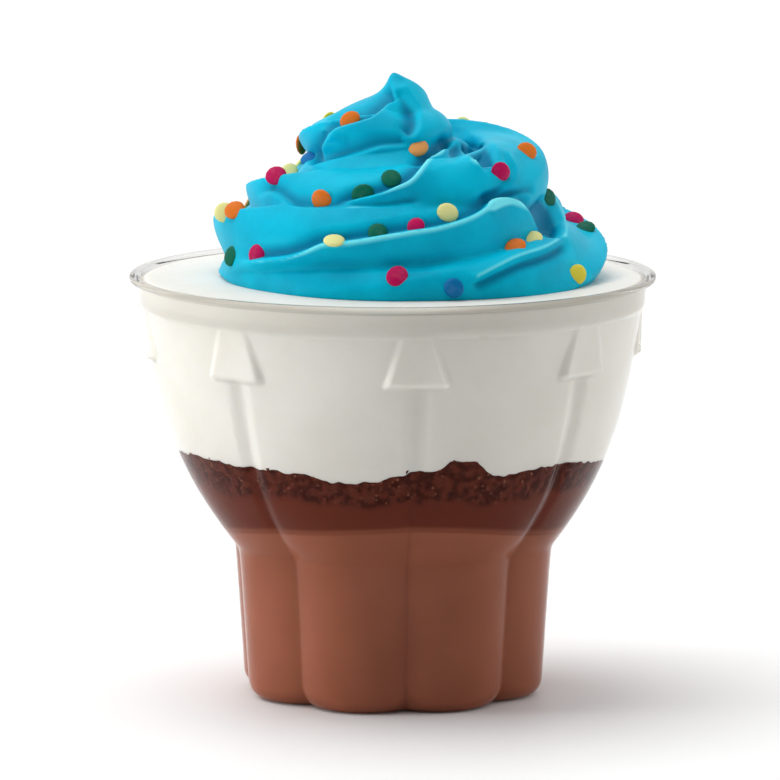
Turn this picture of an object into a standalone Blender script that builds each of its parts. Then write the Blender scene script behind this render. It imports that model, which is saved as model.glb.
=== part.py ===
"""A layered dessert in a clear fluted cup.

From the bottom up: chocolate pudding, chocolate cake crumbs, white cream, and a piped blue swirl
with confetti sprinkles. The cup stands on its base at the origin, and +Z is its axis. An azimuth is
measured from the front (-Y) towards the right (+X).
"""

import math
import random

import bmesh
import bpy
import numpy as np
from mathutils import Matrix, Vector
from mathutils.bvhtree import BVHTree

MM = 0.001

# The cup: thin clear plastic, eight flutes, a round band and a small lip on top.
CUP_HEIGHT = 78.6 * MM
LIP_RADIUS = 49.0 * MM
LIP_THICKNESS = 1.2 * MM
LIP_EDGE = 0.4 * MM
BAND_RADIUS = 47.2 * MM
BAND_FOOT = 73.4 * MM
BAND_STEP_HEIGHT = 0.8 * MM
WALL = 0.6 * MM
FLUTES = 8
GROOVE_AZIMUTH = math.radians(5.5)
STEM_HEIGHT = 28.5 * MM
STEM_FOOT_RADIUS = 28.6 * MM
STEM_TOP_RADIUS = 30.5 * MM
FOOT_ROUND_CREST = 2.6 * MM
FOOT_ROUND_GROOVE = 4.6 * MM
BOWL_NECK_RADIUS = 30.8 * MM
BOWL_FLARE = 0.15
BOWL_BULGE = 9.2 * MM
BOWL_POWER = 3.1
GROOVE_DEPTH_STEM = 2.2 * MM
GROOVE_DEPTH_BOWL = 0.9 * MM
GROOVE_CHANNEL = 0.82
LUG_FOOT = 64.0 * MM
LUG_LEDGE = 1.2 * MM
LUG_FOOT_RADIUS = 46.0 * MM
LUG_TOP_RADIUS = 46.6 * MM
RECESS_RADIUS = 17.0 * MM
RECESS_DEPTH = 2.0 * MM
RECESS_SLOPE = 1.5 * MM

# The fillings. GAP keeps neighbouring solids apart.
GAP = 0.3 * MM
PUDDING_TOP = 33.7 * MM
PUDDING_WAVE = 2.1 * MM
CRUMB_TOP = 46.8 * MM
CRUMB_EDGE = (  # azimuth in degrees, height of the crumbs' edge at the wall in mm
    (-180, 46.5), (-150, 46.9), (-120, 46.4), (-95, 46.2), (-82, 46.7), (-62, 47.8), (-53, 47.6),
    (-42, 47.1), (-33, 47.2), (-23, 47.0), (-19.6, 46.6), (-16.5, 45.7), (-11, 45.8), (-5.6, 46.0),
    (-1.7, 46.4), (1.6, 47.3), (4.3, 47.7), (9.8, 48.0), (12.4, 48.6), (14.8, 49.7), (22, 49.4),
    (24.9, 47.5), (26.9, 46.7), (33, 46.3), (35.3, 47.0), (42, 47.1), (53.4, 47.2), (64, 46.2),
    (83, 45.0), (110, 46.0), (140, 46.6), (165, 46.2),
)
CRUMB_RELIEF = 0.35 * MM
CREAM_TOP = 77.9 * MM
CREAM_DOME = 0.6 * MM

# The swirl: one star-shaped rope laid in three turns, and a peak pulled up in the middle.
SWIRL_BASE = CREAM_TOP + CREAM_DOME + GAP
SWIRL_OFFSET = 1.4 * MM
SWIRL_START = math.radians(90.0)
ROPE_RIDGES = 4
RIDGE_LEAN = 0.32
RIDGE_POWER = 0.9
ROPE_STEPS = 300
ROPE_SIDES = 48
ROPE = (  # turns, distance from the axis, height, half-width, half-height in mm, depth of the grooves
    (-0.80, 24.0, 0.0, 6.0, 3.5, 0.30),
    (-0.25, 28.6, 0.8, 8.0, 5.6, 0.05),
    (0.00, 30.2, 2.3, 8.9, 8.8, 0.30),
    (0.25, 29.0, 4.2, 8.8, 8.7, 0.34),
    (0.50, 27.4, 5.8, 8.8, 8.6, 0.34),
    (0.65, 25.8, 7.0, 8.7, 8.4, 0.10),
    (0.80, 24.0, 8.4, 8.7, 8.2, 0.05),
    (1.00, 21.8, 10.4, 8.6, 7.8, 0.25),
    (1.25, 21.1, 11.4, 8.6, 7.4, 0.34),
    (1.50, 21.6, 12.4, 8.6, 7.2, 0.34),
    (1.65, 20.0, 13.8, 8.4, 7.2, 0.10),
    (1.80, 19.4, 15.4, 8.4, 7.6, 0.05),
    (2.00, 19.8, 17.6, 8.4, 8.4, 0.12),
    (2.25, 15.2, 20.8, 7.8, 7.2, 0.30),
    (2.50, 11.6, 23.4, 7.8, 6.4, 0.34),
    (2.65, 9.4, 24.8, 7.0, 5.7, 0.10),
    (2.80, 6.8, 25.6, 6.8, 5.2, 0.05),
    (3.02, 3.0, 26.4, 4.6, 4.6, 0.05),
    (3.14, 1.0, 27.0, 2.0, 2.0, 0.05),
)
RIDGE_TURNS = (  # turns along the rope, and how far its ridges have turned round it, in degrees
    (-0.80, -178), (-0.25, 20), (0.0, 110), (0.5, 306), (1.0, 462),
    (1.5, 668), (2.0, 850), (2.5, 1022), (2.8, 1108), (3.14, 1240),
)
CORE = (  # height, radius, in mm
    (0.0, 34.0), (4.0, 31.5), (7.4, 29.0), (11.8, 24.0),
    (15.8, 21.2), (20.8, 17.6), (24.8, 11.5), (26.0, 8.0),
)
CORE_FORWARD = 2.5 * MM
CORE_FOOT = 8.0
PEAK_RIDGES = 3
PEAK_GROOVE = 0.12
PEAK_TWIST = math.radians(-14.0)
PEAK_PHASE = math.radians(60.0)
PEAK = (  # height, sideways lean, half-width, in mm
    (20.0, -4.6, 9.0),
    (24.0, -5.0, 12.6),
    (27.0, -4.8, 13.4),
    (28.6, -3.7, 11.8),
    (30.0, -2.3, 9.7),
    (31.4, -1.1, 7.7),
    (33.1, 0.2, 5.2),
    (35.0, 0.1, 3.2),
    (36.2, -0.6, 1.8),
    (37.2, -1.2, 0.5),
)
PEAK_STEPS = 40
SWIRL_VOXEL = 0.8 * MM
SWIRL_FACES = 3450

# Folds in the swirl's front: crests, each with a valley along the left side of its course. Of each, the
# crest's height, the valley's depth, the width of the step between them, and the course. A place on the
# front is given as seen from SEEN_FROM above: mm to the right of the axis, and mm up from the swirl's base.
SEEN_FROM = math.radians(8.5)
FOLD_SLOPE = 3.5
FOLD_VALLEY = 1.2
FOLD_ENDS = 0.12
FOLD_SPACING = 0.5
FOLDS = (
    (0.7, 0.8, 1.2, (  # the peak's front edge, down to the left end of the top turn
        (-12.4, 19.6), (-12.4, 22.6), (-10.6, 25.3), (-6.0, 26.8), (-3.4, 27.7), (-0.5, 30.3),
        (0.8, 31.5), (0.6, 33.2), (0.0, 35.4),
    )),
    (0.5, 0.9, 2.0, (  # the peak's bright right-hand edge, beside its long hollow
        (3.7, 23.1), (5.0, 25.1), (5.5, 27.3), (5.2, 29.5), (2.6, 33.4), (1.1, 34.6),
    )),
    (0.6, 0.7, 1.2, (  # under the top turn
        (-16.0, 18.4), (-12.4, 19.3), (-9.6, 20.0), (-6.0, 20.9), (-2.3, 22.0), (2.4, 22.4),
        (3.7, 23.5),
    )),
    (1.0, 1.1, 1.2, (  # over the middle turn, up to a corner and down again
        (-10.6, 10.9), (-7.8, 12.0), (-2.3, 13.2), (0.4, 14.3), (3.2, 15.6), (5.0, 17.3),
        (6.8, 19.5), (9.6, 21.7), (12.1, 23.7), (13.8, 20.6), (16.3, 17.8), (17.6, 16.5),
    )),
    (0.7, 1.5, 2.4, (  # the lobe behind that corner
        (19.3, 17.6), (20.0, 18.9), (19.6, 20.6), (18.9, 22.4), (16.5, 24.8), (12.7, 25.1),
        (8.6, 24.8),
    )),
    (0.6, 0.3, 1.2, (  # beside the lobe
        (16.0, 11.0), (20.0, 14.0), (21.8, 16.0), (22.4, 18.5), (20.7, 22.4),
    )),
    (0.5, 0.7, 1.2, (  # between the middle turn and the one below
        (-25.2, 12.9), (-22.1, 13.8), (-18.4, 11.2), (-13.3, 10.7), (-2.3, 10.7), (3.5, 11.2),
        (6.8, 11.2),
    )),
    (1.0, 0.9, 1.2, (  # over the low turn, up to a corner and down again
        (-30.1, 1.0), (-22.4, 1.5), (-18.8, 1.9), (-15.7, 2.8), (-12.4, 4.1), (-7.8, 4.5),
        (3.2, 6.3), (8.6, 7.2), (14.1, 9.0), (19.1, 11.8), (21.8, 12.1), (24.7, 10.1), (27.1, 6.5),
    )),
    (0.5, 0.6, 1.0, (  # a short one over that corner
        (16.7, 11.2), (18.7, 12.1), (23.6, 13.4), (26.2, 13.2),
    )),
    (0.8, 1.6, 2.4, (  # the right-hand edge beside the deep hollow
        (31.0, 4.6), (31.7, 7.2), (31.1, 10.1), (29.9, 12.9), (28.0, 14.9),
    )),
    (0.9, 0.8, 1.2, (  # the low edge that runs down to the front
        (31.7, 6.3), (27.9, 3.9), (22.4, 1.9), (19.6, 0.6), (16.0, -1.2), (13.2, -2.5),
    )),
    (0.25, 0.35, 1.8, (  # along the foot
        (-26.1, -1.2), (-17.0, -1.2), (-2.3, -1.0), (5.0, -1.0), (10.5, -0.1), (14.1, 1.4),
    )),
)

# The sprinkles: flat round confetti. Those in front are placed as seen, like the folds.
SPRINKLE_RADIUS = 2.2 * MM
SPRINKLE_THICKNESS = 1.3 * MM
SPRINKLE_SIDES = 8
SPRINKLE_SUNK = 0.1 * MM
SPRINKLES_IN_FRONT = (
    (-7.8, 27.5), (-29.0, 11.0), (-12.8, 12.5), (24.4, 21.8), (22.4, 3.9), (4.6, 22.2),
    (-19.2, 18.2), (-10.6, 4.8), (9.9, 10.0), (-31.0, 10.7), (25.7, 5.4), (33.7, -1.0),
    (-21.4, 17.3), (4.1, 7.4), (-24.6, 2.6), (0.8, -1.6), (19.6, 17.8), (33.9, 9.6), (-0.3, 16.4),
    (-5.4, 13.6), (-2.7, 6.5), (-29.8, 2.6), (28.4, 13.2), (35.9, 7.9), (-15.1, 20.9), (11.0, -3.6),
)
SPRINKLES_BEHIND = 26
SPRINKLE_SEED = 11

COLUMN_SHARES = (-1.0, -0.86, -0.70, -0.35, 0.0, 0.35, 0.70, 0.86)
LUG_SIDE_FOOT = (0.64, 0.82)
LUG_SIDE_EDGE = (0.72, 0.88)


def ease(value, low, high):
    """0 below low, 1 above high, and a smooth step between them."""
    t = min(max((value - low) / (high - low), 0.0), 1.0)
    return t * t * (3.0 - 2.0 * t)


def mix(a, b, t):
    return a + (b - a) * t


def outward(azimuth, radius, height):
    return Vector((math.sin(azimuth) * radius, -math.cos(azimuth) * radius, height))


def spline(keys, at):
    """The other columns of keys, read smoothly at a value of the first column."""
    k = 0
    while k < len(keys) - 2 and at > keys[k + 1][0]:
        k += 1
    a, b = keys[k], keys[k + 1]
    before, after = keys[max(k - 1, 0)], keys[min(k + 2, len(keys) - 1)]
    span = b[0] - a[0]
    u = (at - a[0]) / span
    values = []
    for i in range(1, len(a)):
        slope_a = (b[i] - before[i]) / (b[0] - before[0]) * span
        slope_b = (after[i] - a[i]) / (after[0] - a[0]) * span
        values.append(
            (2 * u**3 - 3 * u**2 + 1) * a[i]
            + (u**3 - 2 * u**2 + u) * slope_a
            + (3 * u**2 - 2 * u**3) * b[i]
            + (u**3 - u**2) * slope_b
        )
    return values


# ---------------------------------------------------------------- the cup's form


def crest_radius(height):
    """The wall's outer radius along the middle of a lobe, below the band."""
    if height <= STEM_HEIGHT:
        return mix(STEM_FOOT_RADIUS, STEM_TOP_RADIUS, height / STEM_HEIGHT)
    rise = BAND_FOOT - BAND_STEP_HEIGHT - STEM_HEIGHT
    t = min((height - STEM_HEIGHT) / rise, 1.0)
    bulge = BOWL_BULGE * (1.0 - (1.0 - t) ** BOWL_POWER)
    return BOWL_NECK_RADIUS + BOWL_FLARE * rise * t + bulge


def groove_depth(share, height):
    """How far the wall lies inside its crest. share runs from 0 in a lobe's middle to 1 in the groove."""
    if height >= LUG_FOOT:
        return 0.0
    round_lobe = share**2
    channel = ease(share, GROOVE_CHANNEL, 1.0)
    form = mix(round_lobe, channel, ease(height, STEM_HEIGHT, 54 * MM))
    depth = mix(GROOVE_DEPTH_STEM, GROOVE_DEPTH_BOWL, ease(height, 24 * MM, 44 * MM))
    return depth * form * (1.0 - ease(height, LUG_FOOT - LUG_LEDGE, LUG_FOOT))


def foot_round(share, height):
    """The rounding of the bottom edge, larger in the grooves than on the lobes."""
    size = mix(FOOT_ROUND_CREST, FOOT_ROUND_GROOVE, share**2)
    if height >= size:
        return 0.0
    return size - math.sqrt(size**2 - (size - height) ** 2)


def lug_sides(height):
    """The shares where a stacking lug's side starts and where its face starts."""
    t = min(max((height - LUG_FOOT) / (BAND_FOOT - LUG_FOOT), 0.0), 1.0)
    return mix(*LUG_SIDE_FOOT, t), mix(*LUG_SIDE_EDGE, t)


def cup_radius(share, height):
    """The fluted wall's outer radius. Above each groove a flat lug stands out, widest at its foot."""
    share = abs(share)
    radius = crest_radius(height) - groove_depth(share, height) - foot_round(share, height)
    if height > LUG_FOOT - LUG_LEDGE:
        side, face = lug_sides(height)
        turn = (1.0 - share) * math.pi / FLUTES
        rise = (height - LUG_FOOT) / (BAND_FOOT - LUG_FOOT)
        flat = mix(LUG_FOOT_RADIUS, LUG_TOP_RADIUS, max(rise, 0.0)) / math.cos(turn)
        proud = max(flat - radius, 0.0) * min(max((share - side) / (face - side), 0.0), 1.0)
        radius += proud * ease(height, LUG_FOOT - LUG_LEDGE, LUG_FOOT)
    return radius


def column_share(share, height):
    """Where a column of the wall's mesh runs: two columns follow the lugs' sides."""
    if height < LUG_FOOT - LUG_LEDGE:
        return share
    side, face = lug_sides(height)
    if abs(share) == COLUMN_SHARES[6]:
        return math.copysign(side, share)
    if abs(share) == COLUMN_SHARES[7]:
        return math.copysign(face, share)
    return share


def fluted_ring(height, inset=0.0):
    """One ring of the fluted wall, moved inwards by inset."""
    points = []
    for lobe in range(FLUTES):
        middle = GROOVE_AZIMUTH + (lobe + 0.5) * 2 * math.pi / FLUTES
        for share in COLUMN_SHARES:
            share = column_share(share, height)
            azimuth = middle + share * math.pi / FLUTES
            points.append(outward(azimuth, cup_radius(share, height) - inset, height))
    return points


def round_ring(radius, height):
    """A plain circle with the same number of points as a fluted ring, at the same azimuths."""
    return [outward(math.atan2(p.x, -p.y), radius, height) for p in fluted_ring(0.5 * CUP_HEIGHT)]


def scaled_ring(ring, share, height_at):
    """A ring drawn in towards the axis, with its heights worked out again."""
    points = []
    for p in ring:
        azimuth = math.atan2(p.x, -p.y)
        points.append(Vector((p.x * share, p.y * share, height_at(azimuth, share))))
    return points


# ---------------------------------------------------------------- turning rings into objects


def material(name, colour, roughness, transmission=0.0):
    made = bpy.data.materials.new(name)
    made.use_nodes = True
    made.diffuse_color = (*colour, 1.0)
    shader = made.node_tree.nodes["Principled BSDF"]
    shader.inputs["Base Color"].default_value = (*colour, 1.0)
    shader.inputs["Roughness"].default_value = roughness
    shader.inputs["Transmission Weight"].default_value = transmission
    return made


def add_object(name, mesh_data, finish):
    made = bpy.data.objects.new(name, mesh_data)
    bpy.context.scene.collection.objects.link(made)
    mesh_data.materials.clear()
    mesh_data.materials.append(finish)
    mesh_data.shade_smooth()
    mesh_data.set_sharp_from_angle(angle=math.radians(35))
    return made


def lofted(bm, rings, bottom_centre, top_centre):
    """Joins rings of equal length into a closed body, with a fan to a centre point at each end."""
    rows = [[bm.verts.new(p) for p in ring] for ring in rings]
    count = len(rows[0])
    for low, high in zip(rows, rows[1:]):
        for i in range(count):
            j = (i + 1) % count
            bm.faces.new((low[i], low[j], high[j], high[i]))
    for row, centre in ((rows[0], bottom_centre), (rows[-1], top_centre)):
        middle = bm.verts.new(centre)
        for i in range(count):
            bm.faces.new((row[i], row[(i + 1) % count], middle))
    bmesh.ops.triangulate(bm, faces=bm.faces[:])
    bmesh.ops.recalc_face_normals(bm, faces=bm.faces[:])


def lofted_object(name, rings, bottom_centre, top_centre, finish):
    bm = bmesh.new()
    lofted(bm, rings, bottom_centre, top_centre)
    mesh_data = bpy.data.meshes.new(name)
    bm.to_mesh(mesh_data)
    bm.free()
    return add_object(name, mesh_data, finish)


# ---------------------------------------------------------------- the pieces


def make_cup():
    """The clear cup as one shell: recessed base, fluted stem and bowl, lugs, band and lip."""
    lip_under = CUP_HEIGHT - LIP_THICKNESS
    outside = [
        round_ring(RECESS_RADIUS - RECESS_SLOPE, RECESS_DEPTH),
        round_ring(RECESS_RADIUS, 0.0),
    ]
    outer_heights = (0.0, 1.0, 3.4, 24, 28.5, 30.5, 35, 41, 48, 55)
    outside += [fluted_ring(h * MM) for h in outer_heights]
    outside += [
        fluted_ring(LUG_FOOT - LUG_LEDGE),
        fluted_ring(LUG_FOOT),
        fluted_ring(BAND_FOOT - BAND_STEP_HEIGHT),
        round_ring(BAND_RADIUS - 0.2 * MM, BAND_FOOT),
        round_ring(BAND_RADIUS, lip_under - 0.8 * MM),
        round_ring(LIP_RADIUS - LIP_EDGE, lip_under),
        round_ring(LIP_RADIUS, lip_under + 0.5 * LIP_THICKNESS),
        round_ring(LIP_RADIUS - LIP_EDGE, CUP_HEIGHT),
        round_ring(BAND_RADIUS + 0.2 * MM, CUP_HEIGHT),
    ]
    inside = [
        round_ring(BAND_RADIUS - WALL, lip_under),
        round_ring(BAND_RADIUS - WALL - 0.2 * MM, BAND_FOOT),
    ]
    inner_heights = (72.6, 64.0, 62.8, 55, 48, 41, 35, 30.5, 28.5, 24, 3.4)
    inside += [fluted_ring(h * MM, WALL) for h in inner_heights]
    inside += [
        fluted_ring(WALL + 0.4 * MM, WALL),
        round_ring(RECESS_RADIUS + WALL, WALL),
        round_ring(RECESS_RADIUS - RECESS_SLOPE + 0.2 * MM, RECESS_DEPTH + WALL),
    ]
    clear = material("clear plastic", (0.93, 0.95, 0.94), 0.06, 1.0)
    below = Vector((0, 0, RECESS_DEPTH))
    above = Vector((0, 0, RECESS_DEPTH + WALL))
    return lofted_object("cup", outside + inside, below, above, clear)


def filling_ring(height):
    """The outline of a filling at a height, just inside the wall."""
    return fluted_ring(height, WALL + GAP)


def filling_edge(height_at):
    """The outline of a filling's uneven top or bottom, just inside the wall."""
    points = []
    for lobe in range(FLUTES):
        middle = GROOVE_AZIMUTH + (lobe + 0.5) * 2 * math.pi / FLUTES
        for share in COLUMN_SHARES:
            azimuth = middle + share * math.pi / FLUTES
            height = height_at(azimuth, 1.0)
            points.append(outward(azimuth, cup_radius(share, height) - WALL - GAP, height))
    return points


def pudding_top(azimuth, share):
    """The pudding stands higher at the front and the back than at the sides."""
    waves = math.cos(2 * azimuth) + 0.12 * math.sin(5 * azimuth)
    return PUDDING_TOP + PUDDING_WAVE * waves * share


def crumb_top(azimuth, share):
    """The crumbs' uneven top, flatter in the middle. One larger lump is at the front right."""
    azimuths, heights = zip(*CRUMB_EDGE)
    edge = float(np.interp(math.degrees(azimuth), azimuths, heights, period=360.0)) * MM
    return mix(CRUMB_TOP, edge, share**2)


def make_pudding():
    """The lowest layer fills the fluted stem and the start of the bowl."""
    floor = WALL + GAP
    bottom = [
        round_ring(RECESS_RADIUS - RECESS_SLOPE + 0.4 * MM, RECESS_DEPTH + floor),
        round_ring(RECESS_RADIUS + WALL + GAP, floor + 0.1 * MM),
    ]
    side = [filling_ring(h * MM) for h in (1.4, 3.6, 24, 28.5, 30.5)]
    edge = filling_edge(pudding_top)
    top = [edge, scaled_ring(edge, 0.6, pudding_top)]
    brown = material("chocolate pudding", (0.20, 0.075, 0.045), 0.4)
    below = Vector((0, 0, RECESS_DEPTH + floor))
    above = Vector((0, 0, PUDDING_TOP))
    return lofted_object("pudding", bottom + side + top, below, above, brown)


def make_crumbs():
    """A crumbly layer of chocolate cake, rough where it meets the wall and the cream."""
    rng = random.Random(3)

    def underside(azimuth, share):
        return pudding_top(azimuth, share) + GAP

    low_edge = filling_edge(underside)
    bottom = [scaled_ring(low_edge, 0.6, underside)]
    side = []
    for height in (37.0, 39.4, 41.8, 44.0):
        ring = filling_ring(height * MM)
        rough = [CRUMB_RELIEF * rng.random() for _ in ring]
        side.append([p - outward(math.atan2(p.x, -p.y), r, 0) for p, r in zip(ring, rough)])
    edge = filling_edge(crumb_top)
    top = [edge] + [scaled_ring(edge, s, crumb_top) for s in (0.86, 0.5)]
    dark = material("chocolate crumbs", (0.075, 0.022, 0.014), 0.8)
    below = Vector((0, 0, PUDDING_TOP + GAP))
    above = Vector((0, 0, CRUMB_TOP))
    return lofted_object("crumbs", bottom + [low_edge] + side + top, below, above, dark)


def make_cream():
    """White cream from the crumbs up to the rim, with a slightly domed top."""

    def underside(azimuth, share):
        return crumb_top(azimuth, share) + GAP

    def dome(azimuth, share):
        return CREAM_TOP + CREAM_DOME * (1.0 - share**2)

    low_edge = filling_edge(underside)
    bottom = [scaled_ring(low_edge, s, underside) for s in (0.5, 0.86)]
    side = [filling_ring(h * MM) for h in (51, 56, 62.8, 64.0, 72.6)]
    side.append(round_ring(BAND_RADIUS - WALL - GAP - 0.2 * MM, BAND_FOOT))
    edge = round_ring(BAND_RADIUS - WALL - GAP, CUP_HEIGHT - LIP_THICKNESS)
    top = [edge] + [scaled_ring(edge, s, dome) for s in (0.94, 0.6)]
    white = material("white cream", (0.86, 0.84, 0.79), 0.45)
    below = Vector((0, 0, CRUMB_TOP + GAP))
    above = Vector((0, 0, CREAM_TOP + CREAM_DOME))
    return lofted_object("cream", bottom + [low_edge] + side + top, below, above, white)


def ridged(turn, ridges, groove, lean):
    """The radius of a star nozzle's rope, 1 on a ridge. One side of each ridge is the steeper."""
    x = (turn * ridges / (2 * math.pi)) % 1.0
    slope = x / lean if x < lean else (1.0 - x) / (1.0 - lean)
    return 1.0 - groove * math.sin(math.pi / 2 * slope) ** RIDGE_POWER


def rope_point(turns):
    distance, height = spline(ROPE, turns)[:2]
    return outward(SWIRL_START + 2 * math.pi * turns, distance * MM, height * MM)


def rope_rings():
    """The rope's cross-sections. Its ridges climb as it goes round, as the nozzle isn't turned."""
    first, last = ROPE[0][0], ROPE[-1][0]
    rings = []
    for step in range(ROPE_STEPS + 1):
        turns = mix(first, last, step / ROPE_STEPS)
        _, _, half_width, half_height, groove = spline(ROPE, turns)
        radial = outward(SWIRL_START + 2 * math.pi * turns, 1.0, 0.0)
        nudge = 0.002
        ahead = rope_point(min(turns + nudge, last)) - rope_point(max(turns - nudge, first))
        ahead.normalize()
        side = (radial - ahead * radial.dot(ahead)).normalized()
        up = ahead.cross(side)
        if up.z < 0:
            up.negate()
        phase = math.radians(spline(RIDGE_TURNS, turns)[0])
        ring = []
        for i in range(ROPE_SIDES):
            turn = 2 * math.pi * i / ROPE_SIDES
            size = ridged(turn - phase, ROPE_RIDGES, groove, RIDGE_LEAN) * MM
            across = side * (half_width * size * math.cos(turn))
            ring.append(rope_point(turns) + across + up * (half_height * size * math.sin(turn)))
        rings.append(ring)
    return rings


def core_rings():
    """Cream that fills the middle, under the rope's turns, and stands forward above its foot."""
    rings = []
    for height, radius in CORE:
        forward = Vector((0, -CORE_FORWARD * min(height / CORE_FOOT, 1.0), 0))
        ring = [2 * math.pi * i / ROPE_SIDES for i in range(ROPE_SIDES)]
        rings.append([outward(turn, radius * MM, height * MM) + forward for turn in ring])
    return rings


def peak_rings():
    """The pulled-up peak: a leaning horn whose ridges twist towards the tip."""
    rings = []
    for step in range(PEAK_STEPS + 1):
        height = mix(PEAK[0][0], PEAK[-1][0], step / PEAK_STEPS)
        lean, half_width = spline(PEAK, height)
        phase = PEAK_PHASE + PEAK_TWIST * (height - PEAK[0][0])
        ring = []
        for i in range(ROPE_SIDES):
            turn = 2 * math.pi * i / ROPE_SIDES
            size = ridged(turn - phase, PEAK_RIDGES, PEAK_GROOVE, 1.0 - RIDGE_LEAN)
            point = outward(turn, half_width * size * MM, height * MM)
            ring.append(point + Vector((lean * MM, 0, 0)))
        rings.append(ring)
    return rings


def end_centre(ring):
    return sum(ring, Vector()) / len(ring)


def evaluated_copy(source):
    """The object's mesh with its modifiers applied."""
    graph = bpy.context.evaluated_depsgraph_get()
    return bpy.data.meshes.new_from_object(source.evaluated_get(graph))


def smooth_step(values):
    values = np.clip(values, 0.0, 1.0)
    return values * values * (3.0 - 2.0 * values)


def fold_course(points):
    """A fold's course as closely spaced points."""
    keys = []
    run = 0.0
    for i, point in enumerate(points):
        if i:
            run += math.dist(point, points[i - 1])
        keys.append((run, *point))
    return np.array([spline(keys, at) for at in np.linspace(0.0, run, int(run / FOLD_SPACING) + 2)])


def fold_relief(places, fold):
    """How far one fold moves the surface, at places as seen, in mm."""
    crest, valley, step, points = fold
    course = fold_course(points)
    nearest = np.full(len(places), np.inf)
    side = np.zeros(len(places))
    along = np.zeros(len(places))
    for i in range(len(course) - 1):
        leg = course[i + 1] - course[i]
        offset = places - course[i]
        share = np.clip(offset @ leg / (leg @ leg), 0.0, 1.0)
        away = offset - share[:, None] * leg
        distance = np.hypot(away[:, 0], away[:, 1])
        closer = distance < nearest
        nearest[closer] = distance[closer]
        side[closer] = np.sign(leg[0] * away[:, 1] - leg[1] * away[:, 0])[closer]
        along[closer] = ((i + share) / (len(course) - 1))[closer]
    signed = nearest * np.where(side > 0, 1.0, -1.0)
    slope = crest * np.clip(1.0 + signed / FOLD_SLOPE, 0.0, 1.0) ** 2
    drop = crest - (crest + valley) * smooth_step(signed / step)
    back = -valley * (1.0 - smooth_step((signed - step) / (step + FOLD_VALLEY)))
    relief = np.where(signed < 0, slope, np.where(signed < step, drop, back))
    return relief * smooth_step(along / FOLD_ENDS) * smooth_step((1.0 - along) / FOLD_ENDS)


def fold_front(mesh_data):
    """Moves the swirl's front in and out along its folds."""
    count = len(mesh_data.vertices)
    places = np.empty(3 * count)
    normals = np.empty(3 * count)
    mesh_data.vertices.foreach_get("co", places)
    mesh_data.vertices.foreach_get("normal", normals)
    places = places.reshape(-1, 3)
    normals = normals.reshape(-1, 3)
    to_viewer = np.array((0.0, -math.cos(SEEN_FROM), math.sin(SEEN_FROM)))
    upwards = np.array((0.0, math.sin(SEEN_FROM), math.cos(SEEN_FROM)))
    base = np.array((0.0, 0.0, SWIRL_BASE))
    seen = np.stack((places[:, 0], (places - base) @ upwards), axis=1) / MM
    facing = smooth_step((normals @ to_viewer + 0.05) / 0.35)
    relief = sum(fold_relief(seen, fold) for fold in FOLDS) * facing * MM
    mesh_data.vertices.foreach_set("co", (places + normals * relief[:, None]).ravel())
    mesh_data.update()


def make_swirl(finish):
    """The rope, its core and its peak, melted into one body with folds in its front."""
    bm = bmesh.new()
    for rings in (rope_rings(), core_rings(), peak_rings()):
        lofted(bm, rings, end_centre(rings[0]), end_centre(rings[-1]))
    bmesh.ops.translate(bm, verts=bm.verts[:], vec=(SWIRL_OFFSET, 0, SWIRL_BASE))
    mesh_data = bpy.data.meshes.new("swirl")
    bm.to_mesh(mesh_data)
    bm.free()
    swirl = add_object("swirl", mesh_data, finish)

    melt = swirl.modifiers.new("melt", "REMESH")
    melt.mode = "VOXEL"
    melt.voxel_size = SWIRL_VOXEL
    soften = swirl.modifiers.new("soften", "SMOOTH")
    soften.factor = 0.5
    soften.iterations = 2
    swirl.data = evaluated_copy(swirl)
    swirl.modifiers.clear()
    fold_front(swirl.data)

    thin_out = swirl.modifiers.new("fewer faces", "DECIMATE")
    full = sum(len(face.vertices) - 2 for face in swirl.data.polygons)
    thin_out.ratio = min(SWIRL_FACES / full, 1.0)
    swirl.data = evaluated_copy(swirl)
    swirl.modifiers.clear()
    return swirl


def sprinkle_rays():
    """Where to look for each sprinkle's place on the swirl, as a start and a direction.

    Those in front lie along the line of sight. The others are spread round the back by the golden
    ratio, so that no two lie close together.
    """
    rays = []
    into = Vector((0, math.cos(SEEN_FROM), -math.sin(SEEN_FROM)))
    upwards = Vector((0, math.sin(SEEN_FROM), math.cos(SEEN_FROM)))
    base = Vector((0, 0, SWIRL_BASE))
    for right, up in SPRINKLES_IN_FRONT:
        seen = base + Vector((right * MM, 0, 0)) + upwards * (up * MM)
        rays.append((seen - into * CUP_HEIGHT, into))
    rng = random.Random(SPRINKLE_SEED)
    golden = (math.sqrt(5.0) - 1.0) / 2.0
    axis = Vector((SWIRL_OFFSET, 0, SWIRL_BASE))
    for n in range(SPRINKLES_BEHIND):
        around = math.radians(108.0 + 144.0 * (n * golden % 1.0))
        height = mix(2.0, 28.0, (n + 0.5) / SPRINKLES_BEHIND)
        azimuth = around + rng.uniform(-0.1, 0.1)
        start = axis + outward(azimuth, LIP_RADIUS, (height + rng.uniform(-0.6, 0.6)) * MM)
        rays.append((start, outward(azimuth, -1.0, 0.0)))
    return rays


def sprinkle_mesh():
    bm = bmesh.new()
    bmesh.ops.create_cone(
        bm,
        cap_ends=True,
        segments=SPRINKLE_SIDES,
        radius1=SPRINKLE_RADIUS,
        radius2=SPRINKLE_RADIUS,
        depth=SPRINKLE_THICKNESS,
    )
    made = bpy.data.meshes.new("sprinkle")
    bm.to_mesh(made)
    bm.free()
    return made


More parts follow.
